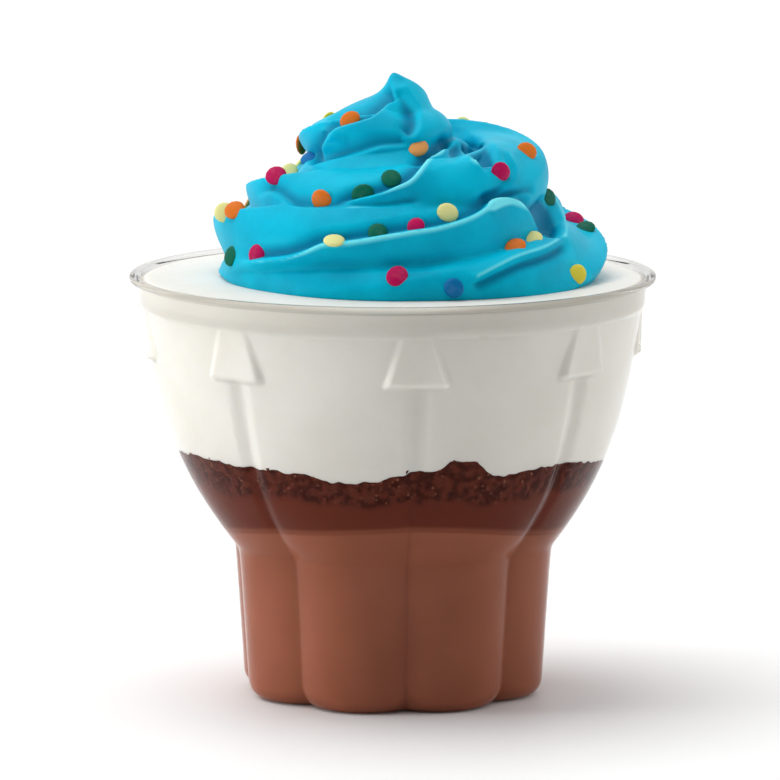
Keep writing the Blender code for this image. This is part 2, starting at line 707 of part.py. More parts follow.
def strew_sprinkles(swirl):
    """Lays each sprinkle flat on the swirl, half sunk, and joins them to it. Then cuts off whatever
    lies below the cream's top.
    """
    surface = BVHTree.FromObject(swirl, bpy.context.evaluated_depsgraph_get())
    shape = sprinkle_mesh()
    group = bpy.data.collections.new("sprinkles")
    bpy.context.scene.collection.children.link(group)
    for start, direction in sprinkle_rays():
        hit, normal, _, _ = surface.ray_cast(start, direction)
        if hit is None:
            continue
        laid = bpy.data.objects.new("sprinkle", shape)
        turn = normal.to_track_quat("Z", "Y").to_matrix().to_4x4()
        laid.matrix_world = Matrix.Translation(hit - normal * SPRINKLE_SUNK) @ turn
        group.objects.link(laid)
    join = swirl.modifiers.new("sprinkles", "BOOLEAN")
    join.operation = "UNION"
    join.operand_type = "COLLECTION"
    join.collection = group
    join.solver = "EXACT"
    bpy.ops.mesh.primitive_cube_add(size=0.2, location=(0, 0, SWIRL_BASE + 0.1))
    above = bpy.context.object
    cut = swirl.modifiers.new("flat underside", "BOOLEAN")
    cut.operation = "INTERSECT"
    cut.object = above
    cut.solver = "EXACT"
    swirl.data = evaluated_copy(swirl)
    swirl.modifiers.clear()
    bpy.data.objects.remove(above)
    for laid in list(group.objects):
        bpy.data.objects.remove(laid)
    bpy.data.collections.remove(group)


def main():
    for existing in list(bpy.data.objects):
        bpy.data.objects.remove(existing)
    make_cup()
    make_pudding()
    make_crumbs()
    make_cream()
    blue = material("blue whipped topping", (0.0, 0.36, 0.60), 0.45)
    strew_sprinkles(make_swirl(blue))


main()
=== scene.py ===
"""A layered dessert in a clear fluted cup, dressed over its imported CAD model.

Chocolate pudding, cake crumbs, white cream, and a piped blue swirl with confetti sprinkles. All
sizes are in metres. An azimuth is measured from the front (-Y) towards the right (+X).
"""

import math
import random

import bmesh
import bpy
import numpy as np
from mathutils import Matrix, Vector, noise


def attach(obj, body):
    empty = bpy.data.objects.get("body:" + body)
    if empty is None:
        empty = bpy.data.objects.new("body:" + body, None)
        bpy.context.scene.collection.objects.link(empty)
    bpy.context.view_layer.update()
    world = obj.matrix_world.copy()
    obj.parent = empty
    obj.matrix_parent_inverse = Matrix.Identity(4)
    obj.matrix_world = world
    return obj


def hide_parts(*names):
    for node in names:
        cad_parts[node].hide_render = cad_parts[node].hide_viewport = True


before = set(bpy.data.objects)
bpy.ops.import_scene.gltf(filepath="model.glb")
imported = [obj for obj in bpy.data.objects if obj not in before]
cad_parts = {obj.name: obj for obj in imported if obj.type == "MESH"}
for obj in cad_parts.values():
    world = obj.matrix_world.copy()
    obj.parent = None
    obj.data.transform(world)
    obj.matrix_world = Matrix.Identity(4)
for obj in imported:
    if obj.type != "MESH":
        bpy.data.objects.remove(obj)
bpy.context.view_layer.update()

# ---------------------------------------------------------------------------------------------
# The cup: thin clear plastic, formed in one piece. Eight flutes run up its stem and bowl, and a
# flat lug stands over each groove, so that stacked cups come apart. One flute is modelled, and
# Geometry Nodes repeat it round the axis.

MM = 0.001
CUP_HEIGHT = 78.6 * MM
LIP_RADIUS = 49.0 * MM
BAND_RADIUS = 47.2 * MM
BAND_FOOT = 73.4 * MM
BAND_STEP_HEIGHT = 0.8 * MM
LIP_FOOT = 77.0 * MM
WALL = 0.6 * MM
FLUTES = 8
GROOVE_AZIMUTH = math.radians(5.5)
STEM_HEIGHT = 28.5 * MM
STEM_RADII = (28.6 * MM, 30.5 * MM)
FOOT_ROUND_CREST = 2.6 * MM
FOOT_ROUND_GROOVE = 4.6 * MM
BOWL_NECK_RADIUS = 30.8 * MM
BOWL_FLARE = 0.15
BOWL_BULGE = 9.2 * MM
BOWL_POWER = 3.1
BOWL_FROM = -0.4  # its curve goes on below the neck, as a share of its height
NECK_SOFTNESS = 0.5 * MM
GROOVE_DEPTHS = (2.2 * MM, 0.9 * MM)
GROOVE_SHALLOWS = (24 * MM, 44 * MM)
GROOVE_CHANNEL = 0.82
CHANNEL_HEIGHT = 54 * MM
LUG_FOOT = 64.0 * MM
LUG_LEDGE = 1.2 * MM
LUG_RADII = (46.0 * MM, 46.6 * MM)
LUG_SIDE_FOOT = (0.64, 0.82)
LUG_SIDE_EDGE = (0.72, 0.88)
RECESS_DEPTH = 2.0 * MM
SEAM_WELD = 0.01 * MM
CUP_TINT = (0.975, 0.98, 0.97)
CUP_BENDING = 1.15
LIP_TINT = (0.84, 0.84, 0.82)
LIP_EDGE_TINT = (0.30, 0.29, 0.27)
LIP_BENDING = 1.12
LIGHT_THROUGH = (0.97, 0.975, 0.965)


def ease(value, low, high):
    """0 below low, 1 above high, and a smooth step between them."""
    t = np.clip((value - low) / (high - low), 0.0, 1.0)
    return t * t * (3.0 - 2.0 * t)


def mixed(pair, share):
    """The first of two values at share 0, and the second at 1."""
    return pair[0] + (pair[1] - pair[0]) * share


def wall_radius(azimuth, height):
    """The cup's outer radius, up to the band. Both arguments may be arrays."""
    turn = (azimuth - GROOVE_AZIMUTH) * FLUTES / (2 * math.pi)
    share = np.abs(2.0 * (turn - np.floor(turn)) - 1.0)
    stem = STEM_RADII[0] + (STEM_RADII[1] - STEM_RADII[0]) * height / STEM_HEIGHT
    rise = BAND_FOOT - BAND_STEP_HEIGHT - STEM_HEIGHT
    t = np.clip((height - STEM_HEIGHT) / rise, BOWL_FROM, 1.0)
    bowl = BOWL_NECK_RADIUS + BOWL_FLARE * rise * t + BOWL_BULGE * (1.0 - (1.0 - t) ** BOWL_POWER)
    bent = np.sqrt((bowl - stem) ** 2 + NECK_SOFTNESS**2) - NECK_SOFTNESS
    crest = 0.5 * (bowl + stem + bent)

    channel = ease(share, GROOVE_CHANNEL, 1.0)
    form = share**2 + (channel - share**2) * ease(height, STEM_HEIGHT, CHANNEL_HEIGHT)
    depth = mixed(GROOVE_DEPTHS, ease(height, *GROOVE_SHALLOWS))
    above_ledge = ease(height, LUG_FOOT - LUG_LEDGE, LUG_FOOT)
    corner = FOOT_ROUND_CREST + (FOOT_ROUND_GROOVE - FOOT_ROUND_CREST) * share**2
    low = np.clip(corner - height, 0.0, None)
    foot = corner - np.sqrt(corner**2 - low**2)
    radius = crest - depth * form * (1.0 - above_ledge) - np.where(height < corner, foot, 0.0)

    up = np.clip((height - LUG_FOOT) / (BAND_FOOT - LUG_FOOT), 0.0, 1.0)
    lug = ease(share, mixed(LUG_SIDE_FOOT, up), mixed(LUG_SIDE_EDGE, up))
    flat = mixed(LUG_RADII, up) / np.cos((1.0 - share) * math.pi / FLUTES)
    return radius + np.clip(flat - radius, 0.0, None) * lug * above_ledge


def all_round(count):
    """Evenly spaced angles, once round."""
    return np.linspace(0, math.tau, count, endpoint=False)


def ring(azimuths, radius, height):
    """Points of one ring. The radius and the height are single numbers or one for each azimuth."""
    flat = np.zeros_like(azimuths)
    points = (np.sin(azimuths) * radius, -np.cos(azimuths) * radius, height + flat)
    return np.stack(points, axis=1)


def placed(name, data):
    """A new object in the scene."""
    made = bpy.data.objects.new(name, data)
    bpy.context.scene.collection.objects.link(made)
    return made


def skin(name, rings, closed=True):
    """A mesh object over rings of points. The rings run from the underside, round the outside, to
    the top or the inside, so the faces point outwards. A closed one gets a fan at each end.
    """
    count = len(rings[0])
    points = np.concatenate(rings)
    faces = []
    for row in range(len(rings) - 1):
        a = row * count
        for i in range(count if closed else count - 1):
            j = (i + 1) % count
            faces.append((a + i, a + j, a + count + j, a + count + i))
    if closed:
        ends = np.array([rings[0].mean(axis=0), rings[-1].mean(axis=0)])
        below, above = len(points), len(points) + 1
        points = np.concatenate([points, ends])
        last = (len(rings) - 1) * count
        faces += [(below, (i + 1) % count, i) for i in range(count)]
        faces += [(above, last + i, last + (i + 1) % count) for i in range(count)]
    mesh_data = bpy.data.meshes.new(name)
    mesh_data.from_pydata(points.tolist(), [], faces)
    mesh_data.validate()
    mesh_data.shade_smooth()
    return placed(name, mesh_data)


def one_flute():
    """An eighth of the cup, from groove to groove: underside, outside, lip, inside and floor. Its
    points are closer together where a lug's side is.
    """
    half = np.concatenate(
        [np.linspace(0, 0.6, 9), np.linspace(0.6, 0.9, 15)[1:], np.linspace(0.9, 1, 6)[1:]]
    )
    shares = np.concatenate([-half[:0:-1], half])
    azimuths = GROOVE_AZIMUTH + (shares + 1.0) * math.pi / FLUTES

    def wall(heights, inset=0.0):
        return [ring(azimuths, wall_radius(azimuths, h) - inset, h) for h in heights]

    def turned(profile):  # radius and height in mm
        return [ring(azimuths, r * MM, h * MM) for r, h in profile]

    foot = np.array([0, 0.12, 0.35, 0.7, 1.15, 1.7, 2.3, 3.0, 3.8, 4.7]) * MM
    stem = np.linspace(6.5, 26, 9) * MM
    neck = np.linspace(26.8, 31, 12) * MM
    bowl = np.linspace(32, 62.2, 27) * MM
    ledge = np.linspace(62.6, 64.4, 13) * MM
    lugs = np.linspace(65.2, 72.3, 10) * MM
    underside = turned([(0.001, 2), (7, 2), (13, 2), (15, 2), (15.5, 1.95), (15.8, 1.7), (16.3, 1)])
    underside += turned([(16.75, 0.3), (17.0, 0.04), (17.4, 0), (19, 0)])
    outside = wall(np.concatenate([foot, stem, neck, bowl, ledge, lugs]))
    band = turned([(46.75, 72.8), (46.95, 73.1), (47.0, 73.5), (47.1, 75), (47.2, 76.6)])
    lip = [(47.35, 77.1), (47.8, 77.4), (48.5, 77.42), (48.88, 77.6), (49, 78), (48.88, 78.4)]
    lip += [(48.5, 78.58), (47.6, 78.6), (47.1, 78.45), (46.75, 78.1), (46.6, 77.5)]
    lining = turned([(46.5, 75), (46.4, 73.5), (46.3, 72.9)])
    inner = np.concatenate([[1.0, 1.5, 2.2, 3.2, 4.6], stem / MM, neck / MM, bowl / MM]) * MM
    inside = wall(np.concatenate([inner, ledge, lugs])[::-1], WALL)
    floor = turned([(20, 0.62), (18, 0.6), (17.5, 0.7), (16.4, 2), (15.8, 2.5), (15, 2.6)])
    floor += turned([(8, 2.6), (0.001, 2.6)])
    rows = underside + outside + band + turned(lip) + lining + inside + floor
    return skin("one flute", rows, closed=False)


def wire(tree, kind, inputs=None, **settings):
    """Adds a node with its settings, and fills its inputs with values or with other sockets."""
    made = tree.nodes.new(kind)
    for name, value in settings.items():
        setattr(made, name, value)
    for key, value in (inputs or {}).items():
        if isinstance(value, bpy.types.NodeSocket):
            tree.links.new(value, made.inputs[key])
        else:
            made.inputs[key].default_value = value
    return made


def new_tree(name, kind, takes, gives):
    """A node tree whose inputs and outputs are given by name and kind, and its inputs' sockets."""
    tree = bpy.data.node_groups.new(name, kind)
    for in_out, sockets in (("INPUT", takes), ("OUTPUT", gives)):
        for label, socket in sockets.items():
            tree.interface.new_socket(label, in_out=in_out, socket_type="NodeSocket" + socket)
    return tree, tree.nodes.new("NodeGroupInput").outputs


def product(tree, first, second):
    return wire(tree, "ShaderNodeMath", {0: first, 1: second}, operation="MULTIPLY").outputs[0]


def coated(tree, geometry, material, chosen=True):
    """The geometry with a material, everywhere or only on the faces that are chosen."""
    inputs = {"Geometry": geometry, "Material": material, "Selection": chosen}
    return wire(tree, "GeometryNodeSetMaterial", inputs).outputs[0]


def flutes_round_the_axis():
    """Geometry Nodes: repeats one flute round the axis and welds the seams."""
    takes = {
        "Flute": "Geometry",
        "Count": "Int",
        "Weld Distance": "Float",
        "Lip Height": "Float",
        "Plastic": "Material",
        "Lip": "Material",
    }
    gives = {"Cup": "Geometry"}
    tree, given = new_tree("flutes round the axis", "GeometryNodeTree", takes, gives)
    places = wire(tree, "GeometryNodeMeshLine", {"Count": given["Count"], "Offset": (0, 0, 0)})
    step = wire(tree, "ShaderNodeMath", {0: math.tau, 1: given["Count"]}, operation="DIVIDE")
    index = wire(tree, "GeometryNodeInputIndex")
    angle = product(tree, index.outputs[0], step.outputs[0])
    turn = wire(tree, "ShaderNodeCombineXYZ", {"Z": angle})
    inputs = {"Points": places.outputs[0], "Instance": given["Flute"], "Rotation": turn.outputs[0]}
    copies = wire(tree, "GeometryNodeInstanceOnPoints", inputs)
    real = wire(tree, "GeometryNodeRealizeInstances", {"Geometry": copies.outputs[0]})
    inputs = {"Geometry": real.outputs[0], "Distance": given["Weld Distance"]}
    weld = wire(tree, "GeometryNodeMergeByDistance", inputs)
    clear = coated(tree, weld.outputs[0], given["Plastic"])
    where = wire(tree, "GeometryNodeInputPosition")
    height = wire(tree, "ShaderNodeSeparateXYZ", {0: where.outputs[0]}).outputs["Z"]
    inputs = {0: height, 1: given["Lip Height"]}
    high = wire(tree, "ShaderNodeMath", inputs, operation="GREATER_THAN")
    lipped = coated(tree, clear, given["Lip"], high.outputs[0])
    wire(tree, "NodeGroupOutput", {0: lipped})
    return tree


def grown(source, tree, values, name):
    """Runs a Geometry Nodes tree on an object, with values for the tree's named inputs, and returns
    the result as a plain mesh object.
    """
    modifier = source.modifiers.new("grown", "NODES")
    modifier.node_group = tree
    for socket in tree.interface.items_tree:
        if socket.name in values:
            modifier[socket.identifier] = values[socket.name]
    graph = bpy.context.evaluated_depsgraph_get()
    mesh_data = bpy.data.meshes.new_from_object(source.evaluated_get(graph))
    mesh_data.name = name
    source.modifiers.remove(modifier)
    bpy.data.objects.remove(source)
    return placed(name, mesh_data)


def eased(tree, value, low=0.0, high=1.0):
    """A smooth step from 0 at low to 1 at high."""
    inputs = {"Value": value, "From Min": low, "From Max": high}
    return wire(tree, "ShaderNodeMapRange", inputs, interpolation_type="SMOOTHSTEP").outputs[0]


def uneven_group():
    """Shader nodes: soft patches from 0 to 1, and a fine relief, both in object space."""
    takes = {label: "Float" for label in ("Patch Scale", "Grain Scale", "Low", "High")}
    gives = {"Patches": "Float", "Relief": "Float"}
    tree, given = new_tree("uneven", "ShaderNodeTree", takes, gives)
    place = wire(tree, "ShaderNodeTexCoord").outputs["Object"]
    inputs = {"Vector": place, "Scale": given["Patch Scale"], "Detail": 4.0, "Roughness": 0.55}
    patches = wire(tree, "ShaderNodeTexNoise", inputs).outputs[0]
    inputs = {"Vector": place, "Scale": given["Grain Scale"], "Detail": 5.0, "Roughness": 0.6}
    grain = wire(tree, "ShaderNodeTexNoise", inputs).outputs[0]
    spread = eased(tree, patches, given["Low"], given["High"])
    wire(tree, "NodeGroupOutput", {0: spread, 1: grain})
    return tree


UNEVEN = uneven_group()


def new_finish(name, **looks):
    """A material with its Principled shader's plain values set. Words name the inputs."""
    finish = bpy.data.materials.new(name)
    finish.use_nodes = True
    shader = finish.node_tree.nodes["Principled BSDF"]
    for label, value in looks.items():
        shader.inputs[label.replace("_", " ")].default_value = value
    return finish, finish.node_tree, shader


def uneven_in(tree, patch, grain, low=0.35, high=0.65):
    """Places the uneven group in a material. Patch and grain sizes are in millimetres."""
    made = tree.nodes.new("ShaderNodeGroup")
    made.node_tree = UNEVEN
    sizes = {"Patch Scale": 1000.0 / patch, "Grain Scale": 1000.0 / grain}
    for label, value in {**sizes, "Low": low, "High": high}.items():
        made.inputs[label].default_value = value
    return made.outputs


def relief_in(tree, shader, height, depth):
    """Feeds a height into the shader's normal. The depth is in millimetres."""
    inputs = {"Height": height, "Strength": 1.0, "Distance": depth * MM}
    bump = wire(tree, "ShaderNodeBump", inputs)
    tree.links.new(bump.outputs[0], shader.inputs["Normal"])


def blend_in(tree, factor, first, second):
    """Mixes two colours, each given as plain numbers or as a socket, and returns the result."""
    mix = wire(tree, "ShaderNodeMix", {"Factor": factor}, data_type="RGBA")
    for slot, colour in ((6, first), (7, second)):
        if isinstance(colour, bpy.types.NodeSocket):
            tree.links.new(colour, mix.inputs[slot])
        else:
            mix.inputs[slot].default_value = (*colour, 1.0)
    return mix.outputs[2]


def clear_plastic(name, tint, bending):
    """Clear plastic, a little wavy. Light for what is behind it passes straight through."""
    finish, tree, shader = new_finish(
        name, Base_Color=(*tint, 1.0), Roughness=0.035, IOR=bending, Transmission_Weight=1.0
    )
    uneven = uneven_in(tree, patch=9.0, grain=25.0)
    relief_in(tree, shader, uneven["Relief"], depth=0.03)
    rays = wire(tree, "ShaderNodeLightPath")
    through = wire(tree, "ShaderNodeBsdfTransparent", {"Color": (*LIGHT_THROUGH, 1.0)})
    inputs = {0: rays.outputs["Is Shadow Ray"], 1: shader.outputs[0], 2: through.outputs[0]}
    either = wire(tree, "ShaderNodeMixShader", inputs)
    tree.links.new(either.outputs[0], tree.nodes["Material Output"].inputs["Surface"])
    return finish


def lip_plastic():
    """The same for the thicker lip, which is greyer where it is seen at a slant."""
    finish = clear_plastic("clear lip plastic", LIP_TINT, LIP_BENDING)
    tree = finish.node_tree
    seen = wire(tree, "ShaderNodeLayerWeight", {"Blend": 0.5})
    slant = eased(tree, seen.outputs["Facing"], low=0.6)
    tint = blend_in(tree, slant, LIP_TINT, LIP_EDGE_TINT)
    tree.links.new(tint, tree.nodes["Principled BSDF"].inputs["Base Color"])
    return finish


cup_values = {
    "Count": FLUTES,
    "Weld Distance": SEAM_WELD,
    "Lip Height": LIP_FOOT,
    "Plastic": clear_plastic("clear cup plastic", CUP_TINT, CUP_BENDING),
    "Lip": lip_plastic(),
}
cup = grown(one_flute(), flutes_round_the_axis(), cup_values, "clear_cup")
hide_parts("cup")
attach(cup, "root")

# ---------------------------------------------------------------------------------------------
# The pudding: smooth set chocolate pudding. It was poured in first, so it fills the fluted stem
# and lies against the plastic all round. It stands a little higher at the front and the back.

PUDDING_TOP = 33.7 * MM
PUDDING_WAVE = 2.1 * MM
PUDDING_RECESS_RADII = (15.6 * MM, 17.3 * MM)
REACH = 0.15 * MM
PUDDING_BROWN = (0.335, 0.106, 0.058)
PUDDING_SHADE = (0.295, 0.09, 0.047)
SOAKED_BROWN = (0.13, 0.024, 0.011)
SOAKED_DEPTH = 0.9 * MM
SOAKED_BETWEEN = 0.5
PUDDING_MESH = (400, 90)  # points round it, and rings up its side


def pudding_top(azimuth, share):
    """The wavy top, level in the middle. A share of the radius is 0 there and 1 at the wall."""
    waves = np.cos(2 * azimuth) + 0.12 * np.sin(5 * azimuth)
    return PUDDING_TOP + PUDDING_WAVE * waves * share


def against_wall(azimuths, heights, reach=REACH):
    """A ring that lies just inside the plastic, so that no air shows between."""
    return ring(azimuths, wall_radius(azimuths, heights) - WALL + reach, heights)


def covered(azimuths, edge, shares, height_at):
    """Rings from an edge in towards the axis, over an uneven top."""
    rows = []
    for share in shares:
        row = edge * np.array([share, share, 1.0])
        row[:, 2] = height_at(azimuths, share)
        rows.append(row)
    return rows


def point_rows(mesh_data, what):
    """A vector of each of a mesh's points, such as co or normal, as rows of three numbers."""
    rows = np.empty(3 * len(mesh_data.vertices))
    mesh_data.vertices.foreach_get(what, rows)
    return rows.reshape(-1, 3)


def store(mesh_data, name, values):
    """Stores a number for each of a mesh's points."""
    kept = mesh_data.attributes.new(name, "FLOAT", "POINT")
    kept.data.foreach_set("value", values.astype(np.float32))


def keep_values(made, name, value_at):
    """Stores numbers that are worked out from each point's azimuth and place."""
    places = point_rows(made.data, "co")
    azimuths = np.arctan2(places[:, 0], -places[:, 1])
    store(made.data, name, value_at(azimuths, places))


def stored(tree, name):
    """In a material, the number that is stored under a name."""
    return wire(tree, "ShaderNodeAttribute", attribute_name=name).outputs["Fac"]


def pudding_finish():
    """Smooth and satin. The top is darker, where the crumbs have coloured it."""
    finish, tree, shader = new_finish(
        "chocolate pudding",
        Roughness=0.5,
        Specular_IOR_Level=0.1,
        Subsurface_Weight=0.15,
        Subsurface_Scale=0.002,
        Subsurface_Radius=(1.0, 0.5, 0.3),
    )
    uneven = uneven_in(tree, patch=14.0, grain=16.0, low=0.3, high=0.7)
    brown = blend_in(tree, uneven["Patches"], PUDDING_SHADE, PUDDING_BROWN)
    colour = blend_in(tree, stored(tree, "soaked"), brown, SOAKED_BROWN)
    tree.links.new(colour, shader.inputs["Base Color"])
    relief_in(tree, shader, uneven["Relief"], depth=0.03)
    return finish


def make_pudding():
    """The recess in the cup's base, the wall from the bottom up, and the top."""
    azimuths = all_round(PUDDING_MESH[0])
    climb = np.linspace(0, 1, PUDDING_MESH[1])
    floor = WALL - REACH
    inner, outer = PUDDING_RECESS_RADII
    rows = [ring(azimuths, inner, RECESS_DEPTH + floor), ring(azimuths, outer, floor)]
    top = pudding_top(azimuths, 1.0)
    rows += [against_wall(azimuths, mixed((floor, top), up)) for up in climb]
    rows += covered(azimuths, rows[-1], (0.985, 0.93, 0.6, 0.3), pudding_top)
    return skin("chocolate_pudding", rows)


def soaked_in_pudding(azimuths, places):
    below = pudding_top(azimuths, 1.0) - places[:, 2]
    return SOAKED_BETWEEN * (1.0 - ease(below, 0.0, SOAKED_DEPTH))


pudding = make_pudding()
keep_values(pudding, "soaked", soaked_in_pudding)
pudding.data.materials.append(pudding_finish())
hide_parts("pudding")
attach(pudding, "root")

# ---------------------------------------------------------------------------------------------
# The crumbs: dark chocolate cake, crumbled over the pudding. The layer's body is one mesh, moist
# and smooth below. Geometry Nodes press loose crumbs against the plastic in its upper part.

CRUMB_TOP = 46.8 * MM
CRUMB_EDGE = (  # azimuth in degrees, height of the crumbs' edge at the wall in mm
    (-180, 46.5), (-150, 46.9), (-120, 46.4), (-95, 46.2), (-82, 46.7), (-62, 47.8), (-53, 47.6),
    (-42, 47.1), (-33, 47.2), (-23, 47.0), (-19.6, 46.6), (-16.5, 45.7), (-11, 45.8), (-5.6, 46.0),
    (-1.7, 46.4), (1.6, 47.3), (4.3, 47.7), (9.8, 48.0), (12.4, 48.6), (14.8, 49.7), (22, 49.4),
    (24.9, 47.5), (26.9, 46.7), (33, 46.3), (35.3, 47.0), (42, 47.1), (53.4, 47.2), (64, 46.2),
    (83, 45.0), (110, 46.0), (140, 46.6), (165, 46.2),
)
CRUMB_MESH = (720, 60)  # points round them, and rings up their side
CRUMB_OVERLAP = 0.5 * MM
CRUMB_FLOOR_RADIUS = 30 * MM
CRUMB_LUMPS = ((0.16, 2.4, 3), (0.10, 0.9, 8))  # height and size in mm, and seed
LUMPS_READ_AT = 40 * MM
CRUMB_FORWARD = 0.1 * MM
CRUMB_BACK = 0.15
CRUMB_SIDE = 0.95  # of the wall's radius
WALL_LUMPS = (0.04, 1.1, 5)
CRUMB_DARK = (0.045, 0.005, 0.002)
CRUMB_BROWN = (0.115, 0.022, 0.011)
CRUMB_PALE = (0.300, 0.105, 0.065)
CRUMBLY_FOOT = 40.9 * MM
CRUMBLY_EASE = 0.9 * MM
GRAIN_SIZES = (0.35 * MM, 0.8 * MM)
GRAIN_SPACING = 0.7 * MM
GRAIN_DENSITY = 3.0e6
GRAIN_SUNK = 0.8
GRAIN_SEED = 4


def crumb_top(azimuth, share):
    """The uneven top, flatter in the middle. One larger lump is at the front right."""
    azimuths, heights = zip(*CRUMB_EDGE)
    edge = np.interp(np.degrees(azimuth), azimuths, heights, period=360.0) * MM
    return CRUMB_TOP + (edge - CRUMB_TOP) * share**2


def lumps(points, size, seed):
    """Noise from about -1 to 1 at each point, for lumps of the given size."""
    away = Vector((seed, 0.7 * seed, 1.3 * seed))
    return np.array([noise.noise(Vector(p) / size + away) for p in points]) * 2.0


def lumpy_crumb_top(azimuth, share):
    """The same with the crumbs' own lumps."""
    height = crumb_top(azimuth, share)
    points = ring(azimuth, LUMPS_READ_AT * share, height)
    return height + sum(h * lumps(points, size * MM, seed) for h, size, seed in CRUMB_LUMPS) * MM


def crumbly_at(azimuths, heights):
    """1 in the layer's loose upper part, and 0 in the moist cake below a limit that wanders."""
    waves = 0.5 * np.sin(9 * azimuths) + 0.35 * np.sin(23 * azimuths + 1.0)
    foot = CRUMBLY_FOOT + waves * MM
    return ease(heights, foot - CRUMBLY_EASE, foot + CRUMBLY_EASE)


def make_crumb_body():
    """The underside on the pudding, the side against the plastic, and the lumpy top."""
    azimuths = all_round(CRUMB_MESH[0])
    low = pudding_top(azimuths, 1.0) - CRUMB_OVERLAP
    high = lumpy_crumb_top(azimuths, 1.0)
    rows = []
    for share in (0.3, 0.9):
        under = pudding_top(azimuths, share) - CRUMB_OVERLAP
        rows.append(ring(azimuths, CRUMB_FLOOR_RADIUS * share, under))
    depth, size, seed = WALL_LUMPS
    for up in np.linspace(0, 1, CRUMB_MESH[1]):
        heights = mixed((low, high), up)
        uneven = depth * lumps(against_wall(azimuths, heights, 0.0), size * MM, seed)
        back = (CRUMB_BACK + uneven) * crumbly_at(azimuths, heights) * MM
        rows.append(against_wall(azimuths, heights, REACH + CRUMB_FORWARD - back))
    rows += covered(azimuths, rows[-1], (0.985, 0.95, 0.8, 0.4), lumpy_crumb_top)
    return skin("crumb_body", rows)


def crumbly(azimuths, places):
    return crumbly_at(azimuths, places[:, 2])


def loose_grains(azimuths, places):
    """1 where loose crumbs lie against the wall, clear of the edge under the cream."""
    deep = crumb_top(azimuths, 1.0) - places[:, 2]
    wall = wall_radius(azimuths, places[:, 2]) - WALL
    outside = np.hypot(places[:, 0], places[:, 1]) > CRUMB_SIDE * wall
    return 1.0 * (crumbly_at(azimuths, places[:, 2]) > 0.5) * (deep > GRAIN_SIZES[1]) * outside


def soaked_in_crumbs(azimuths, places):
    above = places[:, 2] - pudding_top(azimuths, 1.0)
    return mixed((SOAKED_BETWEEN, 1.0), ease(above, 0.0, SOAKED_DEPTH))


def cake_finish():
    """The layer's body: near-black where crumbs lie on it, partly the dark cake's own colour and
    partly painted shade in the gaps between the crumbs and under the cream's edge; redder and
    smoother below.
    """
    finish, tree, shader = new_finish(
        "moist chocolate cake", Roughness=0.7, Specular_IOR_Level=0.05
    )
    uneven = uneven_in(tree, patch=1.5, grain=0.5, low=0.38, high=0.62)
    moist = blend_in(tree, stored(tree, "soaked"), PUDDING_BROWN, SOAKED_BROWN)
    # near-black ground: the dark cake's own colour, and painted shade between the crumbs
    loose = blend_in(tree, uneven["Patches"], CRUMB_DARK, CRUMB_BROWN)
    zone = stored(tree, "crumbly")
    tree.links.new(blend_in(tree, zone, moist, loose), shader.inputs["Base Color"])
    relief_in(tree, shader, product(tree, uneven["Relief"], zone), depth=0.3)
    return finish


def crumb_finish():
    """Loose crumbs: rough, brown, and paler in places."""
    finish, tree, shader = new_finish("loose cake crumbs", Roughness=0.8, Specular_IOR_Level=0.05)
    uneven = uneven_in(tree, patch=2.0, grain=0.35, low=0.38, high=0.6)
    speckled = uneven_in(tree, patch=0.9, grain=0.35, low=0.46, high=0.66)
    colour = blend_in(tree, uneven["Patches"], CRUMB_DARK, CRUMB_BROWN)
    colour = blend_in(tree, speckled["Patches"], colour, CRUMB_PALE)
    tree.links.new(colour, shader.inputs["Base Color"])
    relief_in(tree, shader, uneven["Relief"], depth=0.25)
    return finish


def scaled(tree, vector, by):
    return wire(tree, "ShaderNodeVectorMath", {0: vector, 3: by}, operation="SCALE").outputs[0]


def named_value(tree, name, kind):
    """In Geometry Nodes, what is stored for each point under a name."""
    return wire(tree, "GeometryNodeInputNamedAttribute", {"Name": name}, data_type=kind).outputs[0]


def random_vector(tree, low, high, seed):
    """In Geometry Nodes, a random vector for each point."""
    inputs = {0: low, 1: high, "Seed": seed}
    return wire(tree, "FunctionNodeRandomValue", inputs, data_type="FLOAT_VECTOR").outputs[0]


def strewn(tree, points, instance, turn, size, material):
    """Ends a tree: a copy at each point, made real, smooth and with a material."""
    inputs = {"Points": points, "Instance": instance, "Rotation": turn, "Scale": size}
    copies = wire(tree, "GeometryNodeInstanceOnPoints", inputs)
    real = wire(tree, "GeometryNodeRealizeInstances", {"Geometry": copies.outputs[0]})
    smooth = wire(tree, "GeometryNodeSetShadeSmooth", {"Geometry": real.outputs[0]})
    wire(tree, "NodeGroupOutput", {0: coated(tree, smooth.outputs[0], material)})


